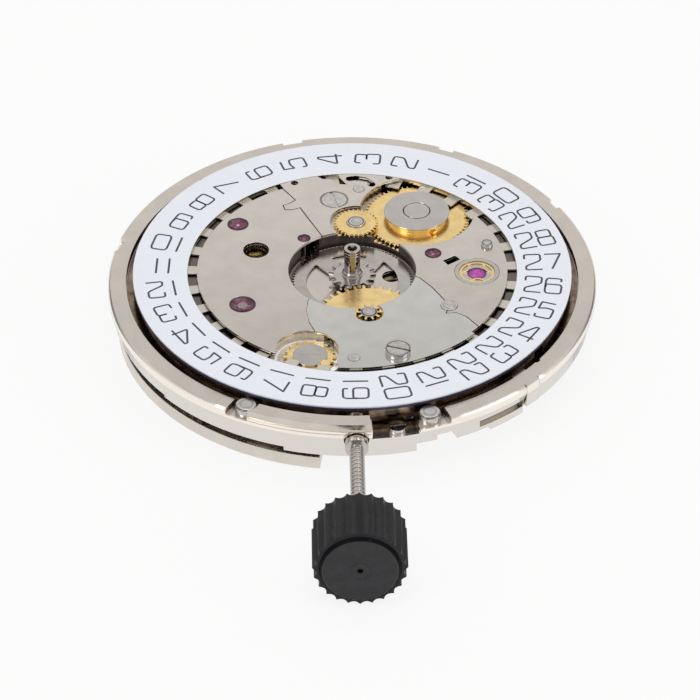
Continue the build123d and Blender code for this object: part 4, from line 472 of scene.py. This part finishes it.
def main_plating():
    """The main plate: warm plating, with painted sheen that makes the flange's side creamier and the wall's side
    paler, painted shade, dark brown, in the channel under the ring, and painted shade and highlight at its recesses
    and holes.
    """
    finish = Finish("nickel plate", plate_nickel, 1.0, 0.2)
    reach, height = finish.reach(), finish.along("Z")
    tone = finish.clouded(plate_cloud, plate_nickel, shade(plate_nickel, plate_deep))
    # Painted sheen: the flange's side and the wall's side are painted lighter
    side = finish.both(finish.beyond(reach, *flange_side_reach), finish.before(height, *flange_side_height))
    tone = finish.blend(side, tone, flange_side_sheen)
    wall = finish.both(finish.beyond(reach, *wall_side_reach), finish.before(height, *wall_side_height))
    tone = finish.blend(wall, tone, wall_side_sheen)

    # Painted shade: the channel under the ring is painted dark brown, with a painted shadow under the ring's teeth
    channel = finish.both(finish.within(reach, *channel_reach), finish.within(height, *channel_height))
    channel = finish.both(channel, finish.beyond(finish.reach(corrector_recess), *beside_recess_reach))
    channel_shade = finish.clouded(channel_shade_cloud, channel_shade_brown, channel_shade_dark)
    channel_shade = finish.blend(finish.before(reach, *under_teeth_reach), channel_shade, under_teeth_shadow)
    tone = finish.blend(channel, tone, channel_shade)

    # Painted shade: the centre recess's wall is painted dark
    recess_wall = finish.both(finish.within(reach, *recess_wall_reach), finish.within(height, *recess_wall_height))
    tone = finish.blend(recess_wall, tone, finish.clouded(recess_shade_cloud, recess_shade_dark, recess_shade_grey))
    # Painted shade: the plate seen in the oblong hole and inside the recess's hole is painted black
    for centre, radius, deep in (
        (oblong_hole, oblong_hole_radius, finish.before(height, *oblong_hole_height)),
        (recess_hole, recess_hole_radius, finish.within(height, *recess_hole_height)),
    ):
        inside = finish.before(finish.reach(centre), radius, radius + hole_edge)
        tone = finish.blend(finish.both(inside, deep), tone, hole_shade_black)
    # Painted highlight: the corrector recess's wall is painted near white, with a matt gloss
    lip = finish.both(finish.within(finish.reach(corrector_recess), *lip_reach), finish.within(height, *lip_height))
    tone = finish.blend(lip, tone, lip_highlight)
    # Painted shade: the centre bore is painted black
    bore = finish.both(finish.before(reach, *bore_reach), finish.beyond(height, *bore_height))
    tone = finish.blend(bore, tone, bore_shade_black)

    grain = finish.rings(plate_pitch, centre_axis, wander=0.8)
    gloss = finish.spread(finish.noise(plate_dust), *plate_gloss)
    for place, least in ((recess_wall, recess_wall_matt), (lip, lip_matt)):
        gloss = finish.maths("MAXIMUM", gloss, finish.both(place, least))
    return finish.out(Base_Color=tone, Roughness=gloss, Normal=finish.bump(grain, depth=0.0008, strength=0.4))


def ring_lacquer():
    """The date ring: glossy faintly blue lacquer on the flat of the ring, painted shade, near black, on its sides, and
    bare metal on its teeth.
    """
    finish = Finish("date ring lacquer", lacquer_white, 0.0, 0.25)
    lacquered = finish.beyond(finish.reach(), *lacquer_reach)
    # Painted shade: the lacquered ring's sides below its top are painted near black
    edge = finish.both(lacquered, finish.before(finish.along("Z"), *lacquer_edge_height))
    coated = finish.blend(edge, finish.clouded(lacquer_cloud, lacquer_white, lacquer_pale), lacquer_side_shade)
    return finish.out(
        Base_Color=finish.blend(lacquered, ring_metal, coated),
        Metallic=finish.spread(lacquered, 1, 0, 0, 1),
        Roughness=finish.spread(finish.noise(lacquer_dust, detail=2.0), *lacquer_gloss),
        Normal=finish.bump(finish.noise(lacquer_skin, detail=2.0), depth=0.0006, strength=0.4),
    )


def number_ink():
    """Dark ink, a little thinner in places."""
    finish = Finish("number ink", ink, 0.0, 0.5)
    gloss = finish.spread(finish.noise(ink_dust), *ink_gloss)
    return finish.out(Base_Color=finish.clouded(ink_cloud, ink_deep, ink_thin), Roughness=gloss)


def ruby(name, spots, colour=crimson, light=crimson_glint, rim=crimson_rim_shade):
    """Synthetic ruby: deep crimson, with painted glints that make it lighter in places and painted shade that makes
    each jewel dark at its rim.
    """
    finish = Finish(name, colour, 0.0, 0.05, IOR=1.5)
    # Painted glints: lighter patches of pink
    glint_share = finish.spread(finish.noise(jewel_glint_size, detail=4.0), 0, 1, *jewel_glint_range)
    tone = finish.blend(glint_share, colour, light)
    # Painted shade: a dark rim on each jewel
    for centre, radius in spots:
        edge = finish.within(finish.reach(centre), *(radius * share for share in jewel_rim_shade_shares))
        tone = finish.blend(edge, tone, rim)
    return finish.out(Base_Color=tone, Roughness=finish.spread(finish.noise(jewel_dust), *jewel_gloss))


def moulded_plastic():
    """The crown: black plastic with a fine moulded skin and scuffs, with painted shade, near black and matt, round its
    step, and greyer on its face.
    """
    finish = Finish("moulded plastic", plastic, 0.0, 0.42)
    worn = finish.spread(finish.noise(plastic_scuff, detail=5.0), 0, 1, *scuff_range)
    tone = finish.blend(worn, plastic_deep, plastic_worn)
    along = finish.along("Y")
    shoulder = crown_front + crown_face_step
    face = finish.before(along, *(crown_front + part for part in crown_face_band))
    tone = finish.blend(face, tone, finish.blend(worn, face_deep, face_worn))
    # Painted shade: the step round the face is painted near black with a low specular level
    step = finish.maths("SUBTRACT", finish.before(along, *(shoulder + part for part in crown_step_band)), face)
    tone = finish.blend(step, tone, step_shade_black)
    specks = finish.spread(finish.noise(plastic_speck, detail=1.0), 0, 1, *speck_range)
    tone = finish.blend(specks, tone, speck_grey)
    shine = finish.maths("MULTIPLY_ADD", step, step_shine - face_shine)
    shine.node.inputs[2].default_value = face_shine
    skin = finish.noise(plastic_skin)
    return finish.out(
        Base_Color=tone,
        Specular_IOR_Level=shine,
        Roughness=finish.spread(skin, *plastic_gloss),
        Normal=finish.bump(skin, depth=0.003, strength=0.4),
    )


def pitted_steel():
    """Posts and screws: bright steel with fine turning marks and soft grey patches, and painted reflections: a dark
    rim on each screw and a dark ring on the smaller ones.
    """
    finish = Finish("pitted steel", steel, 1.0, 0.14)
    tone = finish.blend(finish.spread(finish.noise(steel_pit), 0, 1, *pit_range), pit_grey, pit_bright)
    for centre, radius in screw_places:
        away = finish.reach(centre)
        # Painted reflections: a dark rim on each screw head and a dark ring on the smaller ones
        rim = finish.within(away, *(radius + part for part in screw_rim_band))
        tone = finish.blend(finish.both(rim, screw_rim_strength), tone, screw_rim_reflection)
        if radius <= ringed_screw_radius:
            ring = finish.within(away, *(radius * share for share in screw_ring_shares))
            tone = finish.blend(finish.both(ring, screw_ring_strength), tone, screw_ring_reflection)
    marks = finish.noise(hair_size, detail=2.0, vector=finish.mapped(stretch=hair_stretch, turn=0.9))
    return finish.out(
        Base_Color=tone,
        Roughness=finish.spread(finish.noise(steel_dust), *steel_gloss),
        Normal=finish.bump(marks, depth=0.0008, strength=0.4),
    )


def middle_of(node):
    low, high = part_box(node)
    return tuple((low + high) / 2 / mm)


def piece_from(name, bm, material, body, replaced=(), smooth_under=30.0):
    """A visible piece that rides on a body, with edges under an angle in degrees shaded smooth."""
    bmesh.ops.remove_doubles(bm, verts=bm.verts, dist=weld_distance)
    for edge in bm.edges:
        edge.smooth = len(edge.link_faces) == 2 and edge.calc_face_angle(0) < math.radians(smooth_under)
    for face in bm.faces:
        face.smooth = abs(face.normal.z) < upright_normal
    mesh = bpy.data.meshes.new(name)
    bm.to_mesh(mesh)
    bm.free()
    mesh.materials.append(material)
    made = bpy.data.objects.new(name, mesh)
    bpy.context.scene.collection.objects.link(made)
    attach(made, body)
    if replaced:
        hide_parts(*replaced)
    return made


def body_named(node):
    for body, members in frame["record"]["behaviour"]["bodies"].items():
        if node in members:
            return body


def eased(node, material, width=usual_edge, segments=2):
    """A copy of a node with its sharp edges eased, as a polisher leaves them."""
    bm = bmesh.new()
    bm.from_mesh(nodes[node].data)
    bmesh.ops.remove_doubles(bm, verts=bm.verts, dist=node_weld_distance)
    bmesh.ops.dissolve_limit(bm, angle_limit=math.radians(flat_under), verts=bm.verts, edges=bm.edges)
    angle = math.radians(sharp_over)
    sharp = [edge for edge in bm.edges if len(edge.link_faces) == 2 and edge.calc_face_angle(0) > angle]
    bmesh.ops.bevel(
        bm, geom=sharp, offset=width * mm, offset_type="OFFSET", segments=segments,
        profile=0.5, affect="EDGES", clamp_overlap=True, material=-1,
    )
    bmesh.ops.triangulate(bm, faces=[face for face in bm.faces if len(face.verts) > 4])
    return piece_from(node + "_eased", bm, material, body_named(node), (node,))


def lathe(name, profile, centre, material, body):
    """A profile of (reach, height) pairs spun about an upright axis."""
    bm = bmesh.new()
    first = [bm.verts.new(((centre[0] + reach) * mm, centre[1] * mm, height * mm)) for reach, height in profile]
    edges = [bm.edges.new(pair) for pair in zip(first, first[1:])]
    bmesh.ops.spin(
        bm, geom=first + edges, cent=(centre[0] * mm, centre[1] * mm, 0), axis=(0, 0, 1),
        angle=math.tau, steps=lathe_steps, use_merge=True, use_normal_flip=False,
    )
    bmesh.ops.remove_doubles(bm, verts=bm.verts, dist=weld_distance)
    bmesh.ops.recalc_face_normals(bm, faces=bm.faces)
    return piece_from(name, bm, material, body)


def crown_reach(step):
    """How far the crown reaches at a step of its turn: ridges with hollow flutes between them."""
    share = (step % crown_steps) / crown_steps
    return crown_radius - crown_tooth_depth * math.sin(math.pi * share) ** crown_tooth_power


def fluted_crown():
    """The crown: a fluted body, and a raised face with a shallow ring and a dimple in its middle.

    Its rings are a reach, or None for the flutes' own, a place along the stem and a share of the reach.
    """
    steps = crown_teeth * crown_steps
    shoulder = crown_front + crown_face_step
    rings = [
        (None, crown_back, crown_back_share),
        (None, crown_back - crown_back_edge, 1),
        (None, shoulder + crown_shoulder_edge, 1),
        (None, shoulder, crown_shoulder_share),
        (crown_rim_radius, shoulder, 1),
        (crown_rim_radius - crown_step_edge, shoulder - crown_step_edge, 1),
        (crown_face_radius + crown_face_edge, crown_front + crown_face_edge, 1),
        (crown_face_radius, crown_front, 1),
        (crown_ring_outer, crown_front, 1),
        (crown_ring_outer - crown_ring_slope, crown_front + crown_ring_depth, 1),
        (crown_ring_inner + crown_ring_slope, crown_front + crown_ring_depth, 1),
        (crown_ring_inner, crown_front, 1),
        (dimple_radius, crown_front, 1),
        (dimple_floor_radius, crown_front + dimple_depth, 1),
    ]
    bm = bmesh.new()
    loops = []
    for reach, along, share in rings:
        loop = []
        for step in range(steps):
            turn = math.tau * step / steps
            out = (crown_reach(step) if reach is None else reach) * share
            place = (out * math.cos(turn) * mm, along * mm, (crown_height + out * math.sin(turn)) * mm)
            loop.append(bm.verts.new(place))
        loops.append(loop)
    for first, second in zip(loops, loops[1:]):
        for step in range(steps):
            after = (step + 1) % steps
            bm.faces.new((first[step], first[after], second[after], second[step]))
    bm.faces.new(loops[0])
    bm.faces.new(loops[-1])
    bmesh.ops.recalc_face_normals(bm, faces=bm.faces)
    return piece_from("crown_fluted", bm, moulded_plastic(), "stem", ("crown",), crown_smooth_under)


def dress(node, material):
    mesh = nodes[node].data
    mesh.materials.clear()
    mesh.materials.append(material)


# Each digit's strokes: whether one is closed, and its corners as shares of the digit's width and height
strokes = {
    "0": [(True, [(0, 0), (1, 0), (1, 1), (0, 1)])],
    "1": [(False, [(0.5, 1.0), (0.5, 0.5), (0.5, 0)])],
    "2": [(False, [(0.0, 0.72), (0.0, 1.02), (1, 1.02), (1, 0.60), (0.04, 0.26), (0.02, 0.0), (1.04, 0)])],
    "3": [(False, [(0, 0.78), (0.04, 1.02), (0.94, 1.02), (0.94, 0.56), (0.42, 0.55)]),
          (False, [(0.42, 0.55), (1, 0.56), (1.02, -0.02), (0, -0.02), (-0.04, 0.26)])],
    "4": [(False, [(0.80, -0.02), (0.80, 1), (0.80, 1), (0.62, 1), (0.62, 1), (0, 0.30), (0, 0.30), (0, 0.24),
                   (0, 0.24), (1.02, 0.24)])],
    "5": [(False, [(0.95, 1), (0.08, 1), (0.08, 1), (0.04, 0.56), (0.04, 0.56), (0.5, 0.66), (1, 0.62), (1, 0),
                   (0, 0), (0, 0.2)])],
    "6": [(False, [(0.94, 0.80), (0.94, 1), (0, 1), (0, 0), (1, 0), (1, 0.60), (0.02, 0.60), (0.02, 0.40)])],
    "7": [(False, [(0, 1), (1, 1), (1, 1), (0.36, 0)])],
    "8": [(True, [(0.06, 0.54), (0.94, 0.54), (0.94, 1), (0.06, 1)]), (True, [(0, 0), (1, 0), (1, 0.54), (0, 0.54)])],
    "9": [(False, [(0.06, 0.20), (0.06, 0), (1, 0), (1, 1), (0, 1), (0, 0.40), (0.98, 0.40), (0.98, 0.60)])],
}


def rounded(corners, closed):
    """The corners of a stroke with a point before and after each, so that a spline bends only there."""
    points = []
    count = len(corners)
    for number, corner in enumerate(corners):
        here = Vector(corner)
        if not closed and number in (0, count - 1):
            points.append(here)
            continue
        for other in (corners[number - 1], corners[(number + 1) % count]):
            away = Vector(other) - here
            step = min(corner_round, away.length / 2)
            points.append(here + away.normalized() * step if away.length else here)
            if other is corners[number - 1]:
                points.append(here)
    return points


def digit_mesh(digit):
    """A digit about its own middle, as flattened strokes."""
    curve = bpy.data.curves.new("digit " + digit, "CURVE")
    curve.dimensions = "3D"
    curve.bevel_depth = number_stroke / 2 * mm
    curve.bevel_resolution = 1
    curve.resolution_u = 5
    curve.use_fill_caps = True
    for closed, corners in strokes[digit]:
        points = rounded(corners, closed)
        spline = curve.splines.new("NURBS")
        spline.points.add(len(points) - 1)
        for point, target in zip(spline.points, points):
            point.co = ((target.x - 0.5) * number_width * mm, (target.y - 0.5) * number_height * mm, 0, 1)
        spline.order_u = 3
        spline.use_endpoint_u = not closed
        spline.use_cyclic_u = closed
    carrier = bpy.data.objects.new("digit", curve)
    mesh = bpy.data.meshes.new_from_object(carrier)
    bpy.data.objects.remove(carrier)
    mesh.transform(Matrix.Diagonal((1, 1, number_rise / number_stroke, 1)))
    return mesh


def date_numbers():
    """The numbers on the date ring, each read along its spoke, with one of them over the stem."""
    shapes = {digit: digit_mesh(digit) for digit in strokes}
    bm = bmesh.new()
    for number in range(1, number_count + 1):
        turn = math.radians(stem_turn + (number - number_at_stem) * full_turn / number_count)
        word = str(number)
        start = number_reach - sum(one_advance if digit == "1" else digit_advance for digit in word) / 2
        for digit in word:
            reach = start + (one_lead if digit == "1" else digit_advance / 2)
            start += one_advance if digit == "1" else digit_advance
            before = set(bm.verts)
            bm.from_mesh(shapes[digit])
            own = [vert for vert in bm.verts if vert not in before]
            place = Matrix.Rotation(turn, 4, "Z") @ Matrix.Translation((reach * mm, 0, ring_top * mm))
            bmesh.ops.transform(bm, matrix=place, verts=own)
    return piece_from("date_numbers", bm, number_ink(), "date_ring")


def dress_nodes():
    cover = polished("polished cover", nickel, roughness=0.07)
    cool = polished("cool polished cover", cool_nickel, roughness=0.06)
    bright = polished("polished steel", steel, roughness=0.14)
    dark = polished("dark steel", dark_steel, roughness=0.16)
    bridge = satin("brushed bridge", nickel, roughness=0.32)
    spring = satin("spring steel", steel, roughness=0.3)
    jewels = ruby("ruby", jewel_places)
    shock_stone = ruby("shock ruby", [(shock_jewel, shock_jewel_radius)], shock_red, shock_glint, shock_rim_shade)

    eased("main_plate", main_plating(), wide_edge)
    eased("date_ring", ring_lacquer())
    for node in ("left_cover_plate", "balance_cover_plate", "date_cover_plate"):
        eased(node, cover)
    eased("minute_train_cover", cool)
    for node in ("barrel_bridge", "train_bridge", "pallet_bridge", "balance_cock", "automatic_bridge"):
        eased(node, bridge, wide_edge)
    for node in ("winding_stem", "ratchet_screw", "rotor_axle", "shock_blocks"):
        eased(node, bright)
    pitted = pitted_steel()
    eased("plate_screws", pitted, screw_edge, segments=3)
    eased("dial_posts", pitted, post_edge, segments=3)

    for node, core in (("date_driving_wheel", 0.0), ("intermediate_date_wheel", 0.0), ("date_corrector_wheel", 0.0),
                       ("minute_wheel", minute_core)):
        eased(node, turned("gilt " + node, gilt, middle_of(node), core=core), fine_edge, segments=1)
    # Painted shade: the second and seconds wheels are painted dark brown
    dress("second_wheel", turned("second wheel", second_wheel_shade, middle_of("second_wheel"), core=wheel_core))
    for node in ("barrel_cover", "balance_wheel", "reduction_wheel", "rotor_gear", "reversing_gear_a",
                 "reversing_gear_b", "regulator"):
        core = wheel_core if node == "reduction_wheel" else 0.0
        dress(node, turned("gilt " + node, gilt, middle_of(node), core=core))
    # Painted shade: the third wheel's middle is painted dark
    third = turned("third wheel", gilt, middle_of("third_wheel"), core=third_core, core_colour=core_shade)
    dress("third_wheel", third)
    dress("seconds_wheel", turned("seconds wheel", seconds_wheel_shade, centre_axis, core=wheel_core))
    dress("barrel_drum", turned("bright barrel", barrel_cream, middle_of("barrel_drum"), roughness=0.22))
    for node in ("cannon_driving_wheel", "ratchet_wheel", "crown_wheel"):
        own = turned("turned " + node, turned_nickel, middle_of(node), roughness=0.13)
        eased(node, own, fine_edge, segments=1)
    for node, groove in (("date_driving_disc", drive_groove), ("date_corrector_disc", 0.0)):
        eased(node, grooved("disc " + node, middle_of(node), groove), fine_edge, segments=1)

    tube = polished("polished tube", tube_nickel, roughness=0.05, cloud=tube_cloud, deep=tube_deep)
    cannon = turned("turned cannon_pinion", cannon_nickel, centre_axis, roughness=0.12)
    eased("cannon_pinion", cannon, tube_edge)
    lathe("cannon_tube", cannon_profile, centre_axis, tube, "cannon")
    for node in ("setting_wheel", "winding_pinion", "sliding_pinion", "barrel_arbor", "balance_staff", "escape_wheel",
                 "pallet_fork", "reversing_pinion_a", "reversing_pinion_b"):
        dress(node, dark)
    for node in ("date_jumper", "setting_lever", "yoke", "click", "mainspring", "hairspring"):
        dress(node, spring)
    dress("jewel_bearings", jewels)
    dress("pallet_stones", jewels)
    dress("shock_jewels", shock_stone)
    dress("shock_springs", polished("gilt spring", pale_gilt, roughness=0.15))
    eased("rotor_weight", polished("rotor metal", heavy, roughness=0.26), wide_edge)
    plate = turned("turned rotor plate", nickel, centre_axis, roughness=0.28, pitch=rotor_pitch)
    eased("rotor_plate", plate, wide_edge)
    fluted_crown()


def white_floor():
    """A white floor under the part, with some light of its own where the camera and reflections see it."""
    bm = bmesh.new()
    bmesh.ops.create_grid(bm, x_segments=1, y_segments=1, size=floor_size)
    bmesh.ops.translate(bm, verts=bm.verts, vec=(0, 0, cad_box[0].z))
    mesh = bpy.data.meshes.new("floor")
    bm.to_mesh(mesh)
    bm.free()
    floor = bpy.data.objects.new("floor", mesh)
    bpy.context.scene.collection.objects.link(floor)
    material = bpy.data.materials.new("white floor")
    material.use_nodes = True
    tree = material.node_tree
    tree.nodes.clear()
    path = tree.nodes.new("ShaderNodeLightPath")
    seen = tree.nodes.new("ShaderNodeMath")
    seen.operation = "MAXIMUM"
    tree.links.new(path.outputs["Is Camera Ray"], seen.inputs[0])
    tree.links.new(path.outputs["Is Glossy Ray"], seen.inputs[1])
    share = tree.nodes.new("ShaderNodeMath")
    share.operation = "MULTIPLY"
    tree.links.new(seen.outputs[0], share.inputs[0])
    share.inputs[1].default_value = floor_glow_share
    diffuse = tree.nodes.new("ShaderNodeBsdfDiffuse")
    diffuse.inputs["Color"].default_value = rgba((floor_tone, floor_tone, floor_tone))
    glow = tree.nodes.new("ShaderNodeEmission")
    glow.inputs["Strength"].default_value = 1.0
    mixed = tree.nodes.new("ShaderNodeMixShader")
    tree.links.new(share.outputs[0], mixed.inputs[0])
    tree.links.new(diffuse.outputs[0], mixed.inputs[1])
    tree.links.new(glow.outputs[0], mixed.inputs[2])
    output = tree.nodes.new("ShaderNodeOutputMaterial")
    tree.links.new(mixed.outputs[0], output.inputs[0])
    mesh.materials.append(material)


def studio_sky():
    """Bands of light and dark that the metal mirrors, and plain white for the camera."""
    world = bpy.data.worlds.new("studio")
    bpy.context.scene.world = world
    world.use_nodes = True
    tree = world.node_tree
    background = tree.nodes["Background"]
    where = tree.nodes.new("ShaderNodeTexCoord")
    split = tree.nodes.new("ShaderNodeSeparateXYZ")
    tree.links.new(where.outputs["Generated"], split.inputs[0])
    ramp = tree.nodes.new("ShaderNodeValToRGB")
    tree.links.new(split.outputs["Z"], ramp.inputs[0])
    stops = ramp.color_ramp.elements
    while len(stops) < len(sky_bands):
        stops.new(0.5)
    for stop, (at, level) in zip(stops, sky_bands):
        stop.position = at
        stop.color = rgba(shade(sky_warmth, level))
    path = tree.nodes.new("ShaderNodeLightPath")
    mixed = tree.nodes.new("ShaderNodeMix")
    mixed.data_type = "RGBA"
    tree.links.new(path.outputs["Is Camera Ray"], mixed.inputs["Factor"])
    tree.links.new(ramp.outputs["Color"], mixed.inputs[mix_first])
    mixed.inputs[mix_second].default_value = (1, 1, 1, 1)
    tree.links.new(mixed.outputs[mix_result], background.inputs["Color"])
    background.inputs["Strength"].default_value = 1.0


def studio_lamps():
    for name, place, size, power in lamps:
        lamp = bpy.data.lights.new(name, "AREA")
        lamp.size = size
        lamp.energy = power
        holder = bpy.data.objects.new(name, lamp)
        holder.location = place
        holder.rotation_euler = (-Vector(place)).to_track_quat("-Z", "Y").to_euler()
        bpy.context.scene.collection.objects.link(holder)


def photograph_camera():
    away = Vector((
        math.cos(photo_elevation) * math.cos(photo_turn),
        math.cos(photo_elevation) * math.sin(photo_turn),
        math.sin(photo_elevation),
    ))
    camera = bpy.data.cameras.new("camera")
    camera.sensor_width = sensor
    camera.lens = photo_focal_pixels / photo_size * sensor
    camera.shift_x = (photo_size / 2 - photo_middle[0]) / photo_size
    camera.shift_y = (photo_middle[1] - photo_size / 2) / photo_size
    camera.clip_start = nearest_seen
    camera.clip_end = farthest_seen
    holder = bpy.data.objects.new("camera", camera)
    holder.location = photo_aim + away * photo_distance
    holder.rotation_euler = (-away).to_track_quat("-Z", "Y").to_euler()
    bpy.context.scene.collection.objects.link(holder)
    bpy.context.scene.camera = holder


photograph_camera()
white_floor()
studio_sky()
studio_lamps()
dress_nodes()
date_numbers()
bpy.context.scene.view_settings.view_transform = "Standard"
